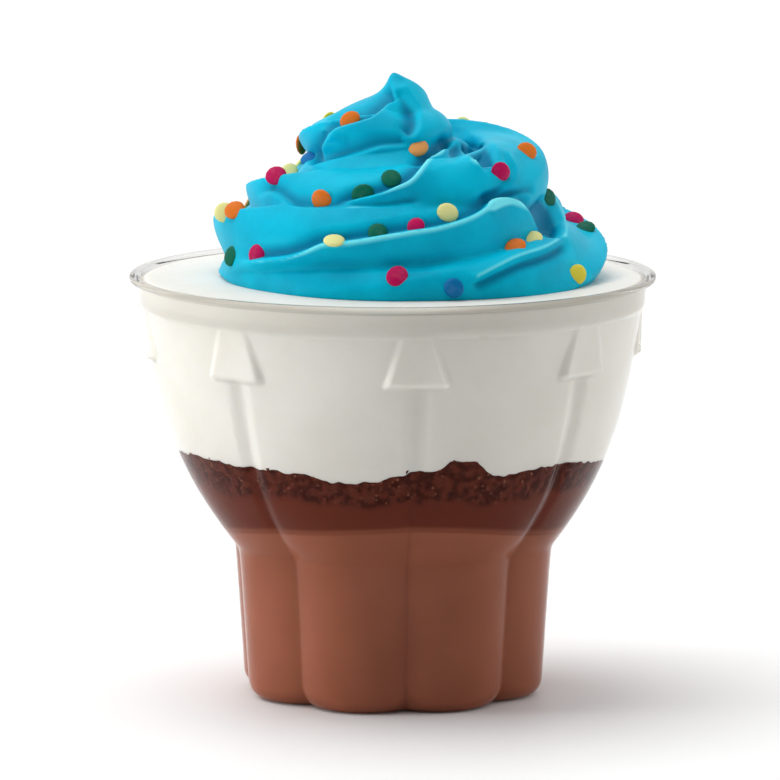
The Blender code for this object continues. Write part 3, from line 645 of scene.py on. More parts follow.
def pressed_crumbs_tree():
    """Geometry Nodes: lumpy grains on a surface, sunk in so that they stay behind the plastic."""
    takes = {
        "Body": "Geometry",
        "Spacing": "Float",
        "Density": "Float",
        "Smallest": "Float",
        "Largest": "Float",
        "Sunk": "Float",
        "Seed": "Int",
        "Crumb": "Material",
    }
    gives = {"Crumbs": "Geometry"}
    tree, given = new_tree("crumbs pressed on a wall", "GeometryNodeTree", takes, gives)
    inputs = {
        "Mesh": given["Body"],
        "Distance Min": given["Spacing"],
        "Density Max": given["Density"],
        "Density Factor": named_value(tree, "loose", "FLOAT"),
        "Seed": given["Seed"],
    }
    spots = wire(
        tree, "GeometryNodeDistributePointsOnFaces", inputs, distribute_method="POISSON"
    )
    ball = wire(tree, "GeometryNodeMeshIcoSphere", {"Radius": 1.0, "Subdivisions": 2})
    where = wire(tree, "GeometryNodeInputPosition").outputs[0]
    bumps = wire(tree, "ShaderNodeTexNoise", {"Vector": where, "Scale": 1.6}).outputs[0]
    inputs = {"Value": bumps, "From Min": 0.25, "From Max": 0.75, "To Min": 0.6, "To Max": 1.2}
    dented = scaled(tree, where, wire(tree, "ShaderNodeMapRange", inputs).outputs[0])
    inputs = {"Geometry": ball.outputs[0], "Position": dented}
    grain = wire(tree, "GeometryNodeSetPosition", inputs)
    turn = random_vector(tree, (0, 0, 0), (math.tau, math.tau, math.tau), given["Seed"])
    inputs = {2: given["Smallest"], 3: given["Largest"], "Seed": given["Seed"]}
    size = wire(tree, "FunctionNodeRandomValue", inputs, data_type="FLOAT").outputs[1]
    depth = product(tree, product(tree, size, given["Sunk"]), -1.0)
    inward = scaled(tree, spots.outputs["Normal"], depth)
    inputs = {"Geometry": spots.outputs["Points"], "Offset": inward}
    laid = wire(tree, "GeometryNodeSetPosition", inputs)
    strewn(tree, laid.outputs[0], grain.outputs[0], turn, size, given["Crumb"])
    return tree


crumb_body = make_crumb_body()
crumb_body.data.materials.append(cake_finish())
keep_values(crumb_body, "crumbly", crumbly)
keep_values(crumb_body, "loose", loose_grains)
keep_values(crumb_body, "soaked", soaked_in_crumbs)
crumb_values = {
    "Spacing": GRAIN_SPACING,
    "Density": GRAIN_DENSITY,
    "Smallest": GRAIN_SIZES[0],
    "Largest": GRAIN_SIZES[1],
    "Sunk": GRAIN_SUNK,
    "Seed": GRAIN_SEED,
    "Crumb": crumb_finish(),
}
crumb_base = placed("crumb base", crumb_body.data.copy())
pressed_crumbs = grown(crumb_base, pressed_crumbs_tree(), crumb_values, "pressed_crumbs")
for piece in (crumb_body, pressed_crumbs):
    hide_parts("crumbs")
    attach(piece, "root")

# ---------------------------------------------------------------------------------------------
# The cream: thick white cream, spooned over the crumbs and levelled just under the lip. It
# follows the crumbs' lumps below, and its top is smooth and slightly domed.

CREAM_TOP = 77.9 * MM
CREAM_DOME = 0.6 * MM
CREAM_WHITE = (0.83, 0.81, 0.76)
CREAM_SHADE = (0.79, 0.76, 0.70)
# Painted shade: the cream's colour under the plastic's lip and in its band.
CREAM_PAINTED_SHADE = (0.50, 0.47, 0.42)
CREAM_MESH = (640, 64)  # points round it, and rings up its side
CREAM_FLOOR_RADII = (12 * MM, 34 * MM)
CREAM_SIDE_RADIUS = 46 * MM
CREAM_EDGE_LUMP = 1.5 * MM
CREAM_EDGE_DEPTH = 0.25 * MM
CREAM_EDGE_SEED = 11
CREAM_EDGE_SUNK = 0.9
CREAM_IN_BAND = (  # height, and how far in from the plastic, in mm
    (73.3, 0.2), (75.0, 0.1), (76.6, 0.0), (76.9, 0.0), (77.15, 0.0), (77.35, 0.1), (77.55, 0.3),
)
CREAM_EDGE_HEIGHT = 77.7 * MM
# Painted shade on the cream: the heights where the line under the lip rises and fades, and how much
# of it the band gets.
PAINTED_SHADE_LINE = (76.7 * MM, 77.1 * MM, 77.5 * MM, 77.9 * MM)
PAINTED_SHADE_BAND = 0.45


def cream_top(azimuth, share):
    """The domed top, with slow waves from spreading it."""
    slow = 0.12 * np.sin(3 * azimuth + 5 * share) + 0.08 * np.sin(7 * azimuth - 8 * share)
    return CREAM_TOP + CREAM_DOME * (1.0 - share**2) + slow * MM * share


def cream_finish():
    """Thick and softly shiny. Painted shade darkens it where the plastic's lip and band lie over
    it.
    """
    finish, tree, shader = new_finish(
        "white cream",
        Roughness=0.5,
        Specular_IOR_Level=0.2,
        Subsurface_Weight=0.3,
        Subsurface_Scale=0.002,
        Subsurface_Radius=(1.0, 0.8, 0.6),
    )
    uneven = uneven_in(tree, patch=16.0, grain=1.6, low=0.3, high=0.75)
    white = blend_in(tree, uneven["Patches"], CREAM_SHADE, CREAM_WHITE)
    # painted shade under the lip and in the band
    colour = blend_in(tree, stored(tree, "painted_lip_shade"), white, CREAM_PAINTED_SHADE)
    tree.links.new(colour, shader.inputs["Base Color"])
    relief_in(tree, shader, uneven["Relief"], depth=0.08)
    return finish


def make_cream():
    """The underside with its jagged edge, the side against the plastic, and the top."""
    azimuths = all_round(CREAM_MESH[0])
    edge_lumps = lumps(ring(azimuths, LUMPS_READ_AT, 0.0), CREAM_EDGE_LUMP, CREAM_EDGE_SEED)
    jagged = CREAM_EDGE_DEPTH * edge_lumps
    low = crumb_top(azimuths, 1.0) - CREAM_EDGE_SUNK * CRUMB_OVERLAP + jagged
    inner, outer = CREAM_FLOOR_RADII
    rows = [ring(azimuths, inner, CRUMB_TOP - 3 * CRUMB_OVERLAP)]
    rows.append(ring(azimuths, outer, crumb_top(azimuths, 0.9) - 3 * CRUMB_OVERLAP))
    below_band = BAND_FOOT - BAND_STEP_HEIGHT
    for up in np.linspace(0, 1, CREAM_MESH[1]):
        rows.append(against_wall(azimuths, mixed((low, below_band), up)))
    in_band = BAND_RADIUS - WALL + REACH
    for height, inset in CREAM_IN_BAND:
        rows.append(ring(azimuths, in_band - inset * MM, height * MM))
    edge = ring(azimuths, in_band, CREAM_EDGE_HEIGHT)
    shares = (0.985, 0.97, 0.94, 0.9, 0.85, 0.8, 0.7, 0.6, 0.4, 0.2)
    rows += covered(azimuths, edge, shares, cream_top)
    return skin("white_cream", rows)


def cream_painted_shade(azimuths, places):
    """Painted shade on the cream's side behind the plastic: a dark line under the lip, and a little
    in the band below it.
    """
    heights = places[:, 2]
    outside = np.hypot(places[:, 0], places[:, 1]) > CREAM_SIDE_RADIUS
    line = ease(heights, *PAINTED_SHADE_LINE[:2]) * (1.0 - ease(heights, *PAINTED_SHADE_LINE[2:]))
    band = PAINTED_SHADE_BAND * ease(heights, BAND_FOOT - BAND_STEP_HEIGHT, BAND_FOOT)
    return np.maximum(line, band * (heights < LIP_FOOT)) * outside


cream = make_cream()
keep_values(cream, "painted_lip_shade", cream_painted_shade)
cream.data.materials.append(cream_finish())
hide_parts("cream")
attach(cream, "root")

# ---------------------------------------------------------------------------------------------
# The swirl: blue whipped topping, piped through a star nozzle in rising turns and pulled up to a
# peak. A star-shaped rope, a core and a leaning horn are melted into one body, and its front is
# moved in and out along the folds that the topping made as it was laid.

SWIRL_BASE = CREAM_TOP + CREAM_DOME + 0.3 * MM
SWIRL_FOOT = CREAM_TOP - 0.2 * MM
SWIRL_OFFSET = 1.4 * MM
SWIRL_START = math.radians(90.0)
ROPE_MESH = (144, 1000)  # points round it, and rings along it
ROPE_RIDGES = 4
RIDGE_LEAN = 0.32
RIDGE_POWER = 0.9
ROPE = (  # turns; distance from the axis, height, half-width, half-height in mm; groove depth
    (-0.80, 24.0, 0.0, 6.0, 3.5, 0.30),
    (-0.25, 28.6, 0.8, 8.0, 5.6, 0.05),
    (0.00, 30.2, 2.3, 8.9, 8.8, 0.30),
    (0.25, 29.0, 4.2, 8.8, 8.7, 0.34),
    (0.50, 27.4, 5.8, 8.8, 8.6, 0.34),
    (0.65, 25.8, 7.0, 8.7, 8.4, 0.10),
    (0.80, 24.0, 8.4, 8.7, 8.2, 0.05),
    (1.00, 21.8, 10.4, 8.6, 7.8, 0.25),
    (1.25, 21.1, 11.4, 8.6, 7.4, 0.34),
    (1.50, 21.6, 12.4, 8.6, 7.2, 0.34),
    (1.65, 20.0, 13.8, 8.4, 7.2, 0.10),
    (1.80, 19.4, 15.4, 8.4, 7.6, 0.05),
    (2.00, 19.8, 17.6, 8.4, 8.4, 0.12),
    (2.25, 15.2, 20.8, 7.8, 7.2, 0.30),
    (2.50, 11.6, 23.4, 7.8, 6.4, 0.34),
    (2.65, 9.4, 24.8, 7.0, 5.7, 0.10),
    (2.80, 6.8, 25.6, 6.8, 5.2, 0.05),
    (3.02, 3.0, 26.4, 4.6, 4.6, 0.05),
    (3.14, 1.0, 27.0, 2.0, 2.0, 0.05),
)
RIDGE_TURNS = (  # turns along the rope, and how far its ridges have turned round it, in degrees
    (-0.80, -178), (-0.25, 20), (0.0, 110), (0.5, 306), (1.0, 462),
    (1.5, 668), (2.0, 850), (2.5, 1022), (2.8, 1108), (3.14, 1240),
)
CORE = (  # height, radius, in mm
    (0.0, 34.0), (4.0, 31.5), (7.4, 29.0), (11.8, 24.0),
    (15.8, 21.2), (20.8, 17.6), (24.8, 11.5), (26.0, 8.0),
)
CORE_POINTS = 96
CORE_FORWARD = 2.5 * MM
CORE_FOOT = 8.0
PEAK_MESH = (96, 120)
PEAK_RIDGES = 3
PEAK_GROOVE = 0.12
PEAK_TWIST = math.radians(-14.0)
PEAK_PHASE = math.radians(60.0)
PEAK = (  # height, sideways lean, half-width, in mm
    (20.0, -4.6, 9.0),
    (24.0, -5.0, 12.6),
    (27.0, -4.8, 13.4),
    (28.6, -3.7, 11.8),
    (30.0, -2.3, 9.7),
    (31.4, -1.1, 7.7),
    (33.1, 0.2, 5.2),
    (35.0, 0.1, 3.2),
    (36.2, -0.6, 1.8),
    (37.2, -1.2, 0.5),
)
SWIRL_VOXEL = 0.42 * MM
SWIRL_BLUE = (0.0, 0.49, 0.69)
SWIRL_DEEP = (0.0, 0.39, 0.58)
# Painted shade for the folds' hollows and a painted highlight for their crests, and the relief at
# which each is full.
SWIRL_PAINTED_SHADE = (0.0, 0.20, 0.36)
SWIRL_PAINTED_HIGHLIGHT = (0.18, 0.78, 0.88)
PAINTED_SHADE_FULL = -1.0
PAINTED_HIGHLIGHT_RANGE = (0.6, 1.0)

# Folds: crests, each with a valley along the left side of its course. Of each, the crest's height,
# the valley's depth, the width of the step between them, and the course. A place on the front is
# given as seen from SEEN_FROM above: mm to the right of the axis, and mm up from the swirl's base.
SEEN_FROM = math.radians(8.5)
TO_VIEWER = np.array((0.0, -math.cos(SEEN_FROM), math.sin(SEEN_FROM)))
SEEN_UPWARDS = np.array((0.0, math.sin(SEEN_FROM), math.cos(SEEN_FROM)))
FOLD_SLOPE = 3.5
FOLD_VALLEY = 1.2
FOLD_ENDS = 0.12
FOLD_SPACING = 0.4
FOLD_FACING = (-0.05, 0.3)
FOLDS = (
    (0.7, 0.8, 1.2, (  # the peak's front edge, down to the left end of the top turn
        (-12.4, 19.6), (-12.4, 22.6), (-10.6, 25.3), (-6.0, 26.8), (-3.4, 27.7), (-0.5, 30.3),
        (0.8, 31.5), (0.6, 33.2), (0.0, 35.4),
    )),
    (0.5, 0.9, 2.0, (  # the peak's bright right-hand edge, beside its long hollow
        (3.7, 23.1), (5.0, 25.1), (5.5, 27.3), (5.2, 29.5), (2.6, 33.4), (1.1, 34.6),
    )),
    (0.6, 0.7, 1.2, (  # under the top turn
        (-16.0, 18.4), (-12.4, 19.3), (-9.6, 20.0), (-6.0, 20.9), (-2.3, 22.0), (2.4, 22.4),
        (3.7, 23.5),
    )),
    (1.0, 1.1, 1.2, (  # over the middle turn, up to a corner and down again
        (-10.6, 10.9), (-7.8, 12.0), (-2.3, 13.2), (0.4, 14.3), (3.2, 15.6), (5.0, 17.3),
        (6.8, 19.5), (9.6, 21.7), (12.1, 23.7), (13.8, 20.6), (16.3, 17.8), (17.6, 16.5),
    )),
    (0.7, 1.5, 2.4, (  # the lobe behind that corner
        (19.3, 17.6), (20.0, 18.9), (19.6, 20.6), (18.9, 22.4), (16.5, 24.8), (12.7, 25.1),
        (8.6, 24.8),
    )),
    (0.6, 0.3, 1.2, (  # beside the lobe
        (16.0, 11.0), (20.0, 14.0), (21.8, 16.0), (22.4, 18.5), (20.7, 22.4),
    )),
    (0.5, 0.7, 1.2, (  # between the middle turn and the one below
        (-25.2, 12.9), (-22.1, 13.8), (-18.4, 11.2), (-13.3, 10.7), (-2.3, 10.7), (3.5, 11.2),
        (6.8, 11.2),
    )),
    (1.0, 0.9, 1.2, (  # over the low turn, up to a corner and down again
        (-30.1, 1.0), (-22.4, 1.5), (-18.8, 1.9), (-15.7, 2.8), (-12.4, 4.1), (-7.8, 4.5),
        (3.2, 6.3), (8.6, 7.2), (14.1, 9.0), (19.1, 11.8), (21.8, 12.1), (24.7, 10.1), (27.1, 6.5),
    )),
    (0.5, 0.6, 1.0, (  # a short one over that corner
        (16.7, 11.2), (18.7, 12.1), (23.6, 13.4), (26.2, 13.2),
    )),
    (0.8, 1.6, 2.4, (  # the right-hand edge beside the deep hollow
        (31.0, 4.6), (31.7, 7.2), (31.1, 10.1), (29.9, 12.9), (28.0, 14.9),
    )),
    (0.9, 0.8, 1.2, (  # the low edge that runs down to the front
        (31.7, 6.3), (27.9, 3.9), (22.4, 1.9), (19.6, 0.6), (16.0, -1.2), (13.2, -2.5),
    )),
    (0.25, 0.35, 1.8, (  # along the foot
        (-26.1, -1.2), (-17.0, -1.2), (-2.3, -1.0), (5.0, -1.0), (10.5, -0.1), (14.1, 1.4),
    )),
)


def spline(keys, at):
    """The other columns of keys, read smoothly at a value of the first column."""
    k = 0
    while k < len(keys) - 2 and at > keys[k + 1][0]:
        k += 1
    a, b = keys[k], keys[k + 1]
    before, after = keys[max(k - 1, 0)], keys[min(k + 2, len(keys) - 1)]
    span = b[0] - a[0]
    u = (at - a[0]) / span
    values = []
    for i in range(1, len(a)):
        slope_a = (b[i] - before[i]) / (b[0] - before[0]) * span
        slope_b = (after[i] - a[i]) / (after[0] - a[0]) * span
        values.append(
            (2 * u**3 - 3 * u**2 + 1) * a[i]
            + (u**3 - 2 * u**2 + u) * slope_a
            + (3 * u**2 - 2 * u**3) * b[i]
            + (u**3 - u**2) * slope_b
        )
    return values


def star(turns, ridges, groove, lean):
    """The radii of a star nozzle's rope, 1 on a ridge. One side of each ridge is the steeper."""
    x = (turns * ridges / math.tau) % 1.0
    slope = np.where(x < lean, x / lean, (1.0 - x) / (1.0 - lean))
    return 1.0 - groove * np.sin(math.pi / 2 * slope) ** RIDGE_POWER


def rope_centre(turns):
    """The middle of the rope after some turns round the axis."""
    distance, height = spline(ROPE, turns)[:2]
    azimuth = SWIRL_START + math.tau * turns
    return np.array((math.sin(azimuth) * distance, -math.cos(azimuth) * distance, height)) * MM


def rope_rings():
    """The rope's cross-sections. Its ridges climb as it goes round, as the nozzle isn't turned."""
    first, last = ROPE[0][0], ROPE[-1][0]
    round_rope = all_round(ROPE_MESH[0])
    rings = []
    for turns in np.linspace(first, last, ROPE_MESH[1]):
        _, _, half_width, half_height, groove = spline(ROPE, turns)
        azimuth = SWIRL_START + math.tau * turns
        radial = np.array((math.sin(azimuth), -math.cos(azimuth), 0.0))
        ahead = rope_centre(min(turns + 0.002, last)) - rope_centre(max(turns - 0.002, first))
        ahead /= np.linalg.norm(ahead)
        side = radial - ahead * (radial @ ahead)
        side /= np.linalg.norm(side)
        up = np.cross(ahead, side)
        up = up if up[2] > 0 else -up
        phase = math.radians(spline(RIDGE_TURNS, turns)[0])
        size = star(round_rope - phase, ROPE_RIDGES, groove, RIDGE_LEAN) * MM
        across = np.outer(half_width * size * np.cos(round_rope), side)
        upwards = np.outer(half_height * size * np.sin(round_rope), up)
        rings.append(rope_centre(turns) + across + upwards)
    return rings


def core_rings():
    """Topping that fills the middle, under the rope's turns, and stands forward above its foot."""
    round_core = all_round(CORE_POINTS)
    rings = []
    for height, radius in CORE:
        forward = CORE_FORWARD * min(height / CORE_FOOT, 1.0)
        rings.append(ring(round_core, radius * MM, height * MM) - np.array((0, forward, 0)))
    return rings


def peak_rings():
    """The pulled-up peak: a leaning horn whose ridges twist towards the tip."""
    round_peak = all_round(PEAK_MESH[0])
    rings = []
    for height in np.linspace(PEAK[0][0], PEAK[-1][0], PEAK_MESH[1]):
        lean, half_width = spline(PEAK, height)
        phase = PEAK_PHASE + PEAK_TWIST * (height - PEAK[0][0])
        size = star(round_peak - phase, PEAK_RIDGES, PEAK_GROOVE, 1.0 - RIDGE_LEAN)
        row = ring(round_peak, half_width * size * MM, height * MM)
        rings.append(row + np.array((lean * MM, 0.0, 0.0)))
    return rings


def fold_course(points):
    """A fold's course as closely spaced points."""
    keys = [(0.0, *points[0])]
    for before, point in zip(points, points[1:]):
        keys.append((keys[-1][0] + math.dist(point, before), *point))
    run = keys[-1][0]
    stops = np.linspace(0.0, run, int(run / FOLD_SPACING) + 2)
    return np.array([spline(keys, at) for at in stops])


def fold_relief(places, fold):
    """How far one fold moves the surface, at places as seen, in mm."""
    crest, valley, step, points = fold
    course = fold_course(points)
    reach = FOLD_SLOPE + 2 * step + FOLD_VALLEY
    box = (places > course.min(axis=0) - reach) & (places < course.max(axis=0) + reach)
    inside = np.nonzero(box.all(axis=1))[0]
    near = places[inside]
    nearest = np.full(len(near), np.inf)
    side = np.zeros(len(near))
    along = np.zeros(len(near))
    for i in range(len(course) - 1):
        leg = course[i + 1] - course[i]
        offset = near - course[i]
        share = np.clip(offset @ leg / (leg @ leg), 0.0, 1.0)
        away = offset - share[:, None] * leg
        distance = np.hypot(away[:, 0], away[:, 1])
        closer = distance < nearest
        nearest[closer] = distance[closer]
        side[closer] = np.sign(leg[0] * away[:, 1] - leg[1] * away[:, 0])[closer]
        along[closer] = ((i + share) / (len(course) - 1))[closer]
    signed = nearest * np.where(side > 0, 1.0, -1.0)
    slope = crest * np.clip(1.0 + signed / FOLD_SLOPE, 0.0, 1.0) ** 2
    drop = crest - (crest + valley) * ease(signed, 0.0, step)
    back = -valley * (1.0 - ease(signed, step, 2 * step + FOLD_VALLEY))
    form = np.where(signed < 0, slope, np.where(signed < step, drop, back))
    relief = np.zeros(len(places))
    relief[inside] = form * ease(along, 0.0, FOLD_ENDS) * ease(1.0 - along, 0.0, FOLD_ENDS)
    return relief


def fold_front(mesh_data):
    """Moves the swirl's front in and out along its folds, and keeps the relief as an attribute."""
    places = point_rows(mesh_data, "co")
    normals = point_rows(mesh_data, "normal")
    base = np.array((0.0, 0.0, SWIRL_BASE))
    seen = np.stack((places[:, 0], (places - base) @ SEEN_UPWARDS), axis=1) / MM
    facing = ease(normals @ TO_VIEWER, *FOLD_FACING)
    relief = sum(fold_relief(seen, fold) for fold in FOLDS) * facing
    mesh_data.vertices.foreach_set("co", (places + normals * relief[:, None] * MM).ravel())
    store(mesh_data, "raised", relief)
    mesh_data.update()


def melted(made, voxel, passes):
    """Applies a voxel remesh, if a size is given, and some smoothing."""
    if voxel:
        melt = made.modifiers.new("melt", "REMESH")
        melt.mode = "VOXEL"
        melt.voxel_size = voxel
        melt.use_smooth_shade = True
    soften = made.modifiers.new("soften", "SMOOTH")
    soften.factor = 0.5
    soften.iterations = passes
    graph = bpy.context.evaluated_depsgraph_get()
    made.data = bpy.data.meshes.new_from_object(made.evaluated_get(graph))
    made.modifiers.clear()


def make_swirl():
    """The rope, core and peak as one body on the cream, melted together and then folded."""
    bm = bmesh.new()
    for rings in (rope_rings(), core_rings(), peak_rings()):
        part = skin("topping", rings)
        bm.from_mesh(part.data)
        bpy.data.objects.remove(part)
    bmesh.ops.recalc_face_normals(bm, faces=bm.faces[:])
    bmesh.ops.translate(bm, verts=bm.verts[:], vec=(SWIRL_OFFSET, 0, SWIRL_BASE))
    for vertex in bm.verts:
        vertex.co.z = max(vertex.co.z, SWIRL_FOOT)
    mesh_data = bpy.data.meshes.new("blue_swirl")
    bm.to_mesh(mesh_data)
    bm.free()
    made = placed("blue_swirl", mesh_data)
    melted(made, SWIRL_VOXEL, passes=3)
    fold_front(made.data)
    melted(made, None, passes=1)
    return made


def swirl_finish():
    """Satin, with painted shade making the blue deeper in the hollows of the folds, and a paler
    painted highlight along their crests.
    """
    finish, tree, shader = new_finish(
        "blue whipped topping",
        Roughness=0.42,
        Specular_IOR_Level=0.05,
        Subsurface_Weight=0.3,
        Subsurface_Scale=0.002,
        Subsurface_Radius=(0.3, 0.8, 1.0),
    )
    uneven = uneven_in(tree, patch=9.0, grain=0.8, low=0.3, high=0.7)
    raised = stored(tree, "raised")
    colour = blend_in(tree, uneven["Patches"], SWIRL_DEEP, SWIRL_BLUE)
    # painted shade in the folds' hollows, and a painted highlight on their crests
    colour = blend_in(tree, eased(tree, raised, high=PAINTED_SHADE_FULL), colour, SWIRL_PAINTED_SHADE)
    colour = blend_in(tree, eased(tree, raised, *PAINTED_HIGHLIGHT_RANGE), colour, SWIRL_PAINTED_HIGHLIGHT)
    tree.links.new(colour, shader.inputs["Base Color"])
    relief_in(tree, shader, uneven["Relief"], depth=0.05)
    return finish


swirl = make_swirl()
swirl.data.materials.clear()
swirl.data.materials.append(swirl_finish())

# ---------------------------------------------------------------------------------------------
# The sprinkles: flat round sugar confetti in seven colours, dropped on the soft swirl. Geometry
# Nodes cast each one in towards the swirl, and lay it where it lands, turned a little outwards.

SPRINKLE_RADIUS = 2.2 * MM
SPRINKLE_THICKNESS = 1.3 * MM
SPRINKLE_RAISED = 0.25 * MM
SPRINKLE_TURNED_OUT = 0.8
SPRINKLE_TILT = 0.25
SPRINKLE_SPIN = 6.28
SPRINKLE_SIZES = ((0.9, 0.84, 0.85), (1.08, 1.0, 1.1))
SPRINKLE_BLOOM = 0.035
SPRINKLE_SEED = 11
SPRINKLES_BEHIND = 26
BEHIND_AZIMUTHS = (108.0, 252.0)
BEHIND_HEIGHTS = (2.0, 28.0)
BEHIND_SHAKES = (0.1, 0.6)  # round in radians, and up in mm
SPRINKLES = {  # linear colour, and the places in front as seen, like the folds, in mm
    "orange": (
        (0.72, 0.17, 0.015),
        ((-7.8, 27.5), (-29.0, 11.0), (-12.8, 12.5), (24.6, 21.8), (22.4, 3.9)),
    ),
    "peach": ((0.75, 0.33, 0.1), ((4.6, 22.2),)),
    "lemon": (
        (0.76, 0.74, 0.30),
        ((-19.2, 18.2), (-10.6, 4.8), (9.9, 10.0), (-31.0, 10.7), (25.7, 5.4)),
    ),
    "yellow": ((0.74, 0.64, 0.06), ((33.7, -1.0),)),
    "pink": (
        (0.50, 0.003, 0.09),
        ((-21.4, 17.3), (4.1, 7.4), (-24.6, 2.6), (0.8, -1.6), (19.6, 17.8), (33.9, 9.6)),
    ),
    "green": (
        (0.0, 0.13, 0.075),
        ((-0.3, 16.4), (-5.4, 13.6), (-2.7, 6.5), (-29.4, 2.6), (28.4, 13.2), (35.9, 7.9)),
    ),
    "blue": ((0.0, 0.16, 0.42), ((-15.1, 20.9), (11.0, -3.6))),
}


def rays_in_front(places):
    """For each place as seen, a start in front of the swirl and the direction of sight."""
    base = np.array((0.0, 0.0, SWIRL_BASE)) + TO_VIEWER * CUP_HEIGHT
    across = np.array((MM, 0.0, 0.0))
    return [(base + across * u + SEEN_UPWARDS * v * MM, -TO_VIEWER) for u, v in places]


def rays_behind():
    """The same for sprinkles round the back, spread by the golden ratio."""
    rng = random.Random(SPRINKLE_SEED)
    golden = (math.sqrt(5.0) - 1.0) / 2.0
    sideways, upwards = BEHIND_SHAKES
    axis = np.array((SWIRL_OFFSET, 0.0, SWIRL_BASE))
    rays = []
    for n in range(SPRINKLES_BEHIND):
        around = math.radians(mixed(BEHIND_AZIMUTHS, n * golden % 1.0))
        height = mixed(BEHIND_HEIGHTS, (n + 0.5) / SPRINKLES_BEHIND)
        azimuth = around + rng.uniform(-sideways, sideways)
        out = np.array((math.sin(azimuth), -math.cos(azimuth), 0.0))
        up = np.array((0, 0, (height + rng.uniform(-upwards, upwards)) * MM))
        rays.append((axis + out * LIP_RADIUS + up, -out))
    return rays


def sprinkles_tree():
    """Geometry Nodes: casts each point in at the swirl, and lays a sprinkle where it lands."""
    takes = {
        "Starts": "Geometry",
        "Swirl": "Object",
        "Radius": "Float",
        "Thickness": "Float",
        "Raised": "Float",
        "Turned Out": "Float",
        "Tilt": "Float",
        "Seed": "Int",
        "Sugar": "Material",
    }
    gives = {"Sprinkles": "Geometry"}
    tree, given = new_tree("sprinkles on a swirl", "GeometryNodeTree", takes, gives)
    target = {"Object": given["Swirl"]}
    below = wire(tree, "GeometryNodeObjectInfo", target, transform_space="RELATIVE")
    inward = named_value(tree, "inward", "FLOAT_VECTOR")
    inputs = {
        "Target Geometry": below.outputs["Geometry"],
        "Source Position": wire(tree, "GeometryNodeInputPosition").outputs[0],
        "Ray Direction": inward,
        "Ray Length": 0.2,
    }
    cast = wire(tree, "GeometryNodeRaycast", inputs).outputs
    outward = scaled(tree, inward, product(tree, given["Turned Out"], -1.0))
    faces = wire(tree, "ShaderNodeVectorMath", {0: cast["Hit Normal"], 1: outward})
    inputs = {"Geometry": given["Starts"], "Name": "facing", "Value": faces.outputs[0]}
    kept = wire(
        tree, "GeometryNodeStoreNamedAttribute", inputs, data_type="FLOAT_VECTOR", domain="POINT"
    )
    inputs = {
        "Geometry": kept.outputs[0],
        "Position": cast["Hit Position"],
        "Offset": scaled(tree, cast["Hit Normal"], given["Raised"]),
    }
    landed = wire(tree, "GeometryNodeSetPosition", inputs).outputs[0]
    inputs = {"Vertices": 12, "Radius": given["Radius"], "Depth": given["Thickness"]}
    disc = wire(tree, "GeometryNodeMeshCylinder", inputs, fill_type="NGON").outputs["Mesh"]
    rounded = wire(tree, "GeometryNodeSubdivisionSurface", {"Mesh": disc, "Level": 2})
    facing = {"Vector": named_value(tree, "facing", "FLOAT_VECTOR")}
    upright = wire(tree, "FunctionNodeAlignRotationToVector", facing, axis="Z")
    tilt = given["Tilt"]
    lean = product(tree, tilt, -1.0)
    low = wire(tree, "ShaderNodeCombineXYZ", {"X": lean, "Y": lean})
    high = wire(tree, "ShaderNodeCombineXYZ", {"X": tilt, "Y": tilt, "Z": SPRINKLE_SPIN})
    tipped = random_vector(tree, low.outputs[0], high.outputs[0], given["Seed"])
    tip = wire(tree, "FunctionNodeEulerToRotation", {0: tipped})
    inputs = {"Rotation": upright.outputs[0], "Rotate By": tip.outputs[0]}
    turn = wire(tree, "FunctionNodeRotateRotation", inputs, rotation_space="LOCAL").outputs[0]
    size = random_vector(tree, *SPRINKLE_SIZES, given["Seed"])
    strewn(tree, landed, rounded.outputs[0], turn, size, given["Sugar"])
    return tree


def sprinkle_starts(rays):
    """A loose point for each ray's start, with its direction as an attribute."""
    mesh_data = bpy.data.meshes.new("starts")
    mesh_data.from_pydata([start.tolist() for start, _ in rays], [], [])
    inward = mesh_data.attributes.new("inward", "FLOAT_VECTOR", "POINT")
    for i, (_, direction) in enumerate(rays):
        inward.data[i].vector = direction.tolist()
    return placed("starts", mesh_data)


def sugar_finish(name, colour):
    """Pressed sugar: dull and finely grained, with a paler, dusty bloom in patches."""
    finish, tree, shader = new_finish(name + " sugar", Roughness=0.5, Specular_IOR_Level=0.1)
    uneven = uneven_in(tree, patch=1.6, grain=0.3, low=0.45, high=0.8)
    pale = tuple(c + (1.0 - c) * SPRINKLE_BLOOM for c in colour)
    tree.links.new(blend_in(tree, uneven["Patches"], colour, pale), shader.inputs["Base Color"])
    relief_in(tree, shader, uneven["Relief"], depth=0.08)
    return finish


sprinkle_nodes = sprinkles_tree()
behind = rays_behind()
sprinkle_pieces = []
for number, (colour_name, (colour, in_front)) in enumerate(SPRINKLES.items()):
    rays = rays_in_front(in_front) + behind[number :: len(SPRINKLES)]
    sprinkle_values = {
        "Swirl": swirl,
        "Radius": SPRINKLE_RADIUS,
        "Thickness": SPRINKLE_THICKNESS,
        "Raised": SPRINKLE_RAISED,
        "Turned Out": SPRINKLE_TURNED_OUT,
        "Tilt": SPRINKLE_TILT,
        "Seed": number,
        "Sugar": sugar_finish(colour_name, colour),
    }
    starts = sprinkle_starts(rays)
    name = colour_name + "_sprinkles"
    sprinkle_pieces.append(grown(starts, sprinkle_nodes, sprinkle_values, name))
for piece in [swirl] + sprinkle_pieces:
    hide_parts("swirl")
    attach(piece, "root")

# ---------------------------------------------------------------------------------------------
# The studio: a plain white table, soft light mostly from the left, and a camera far off, a
# little above the rim.

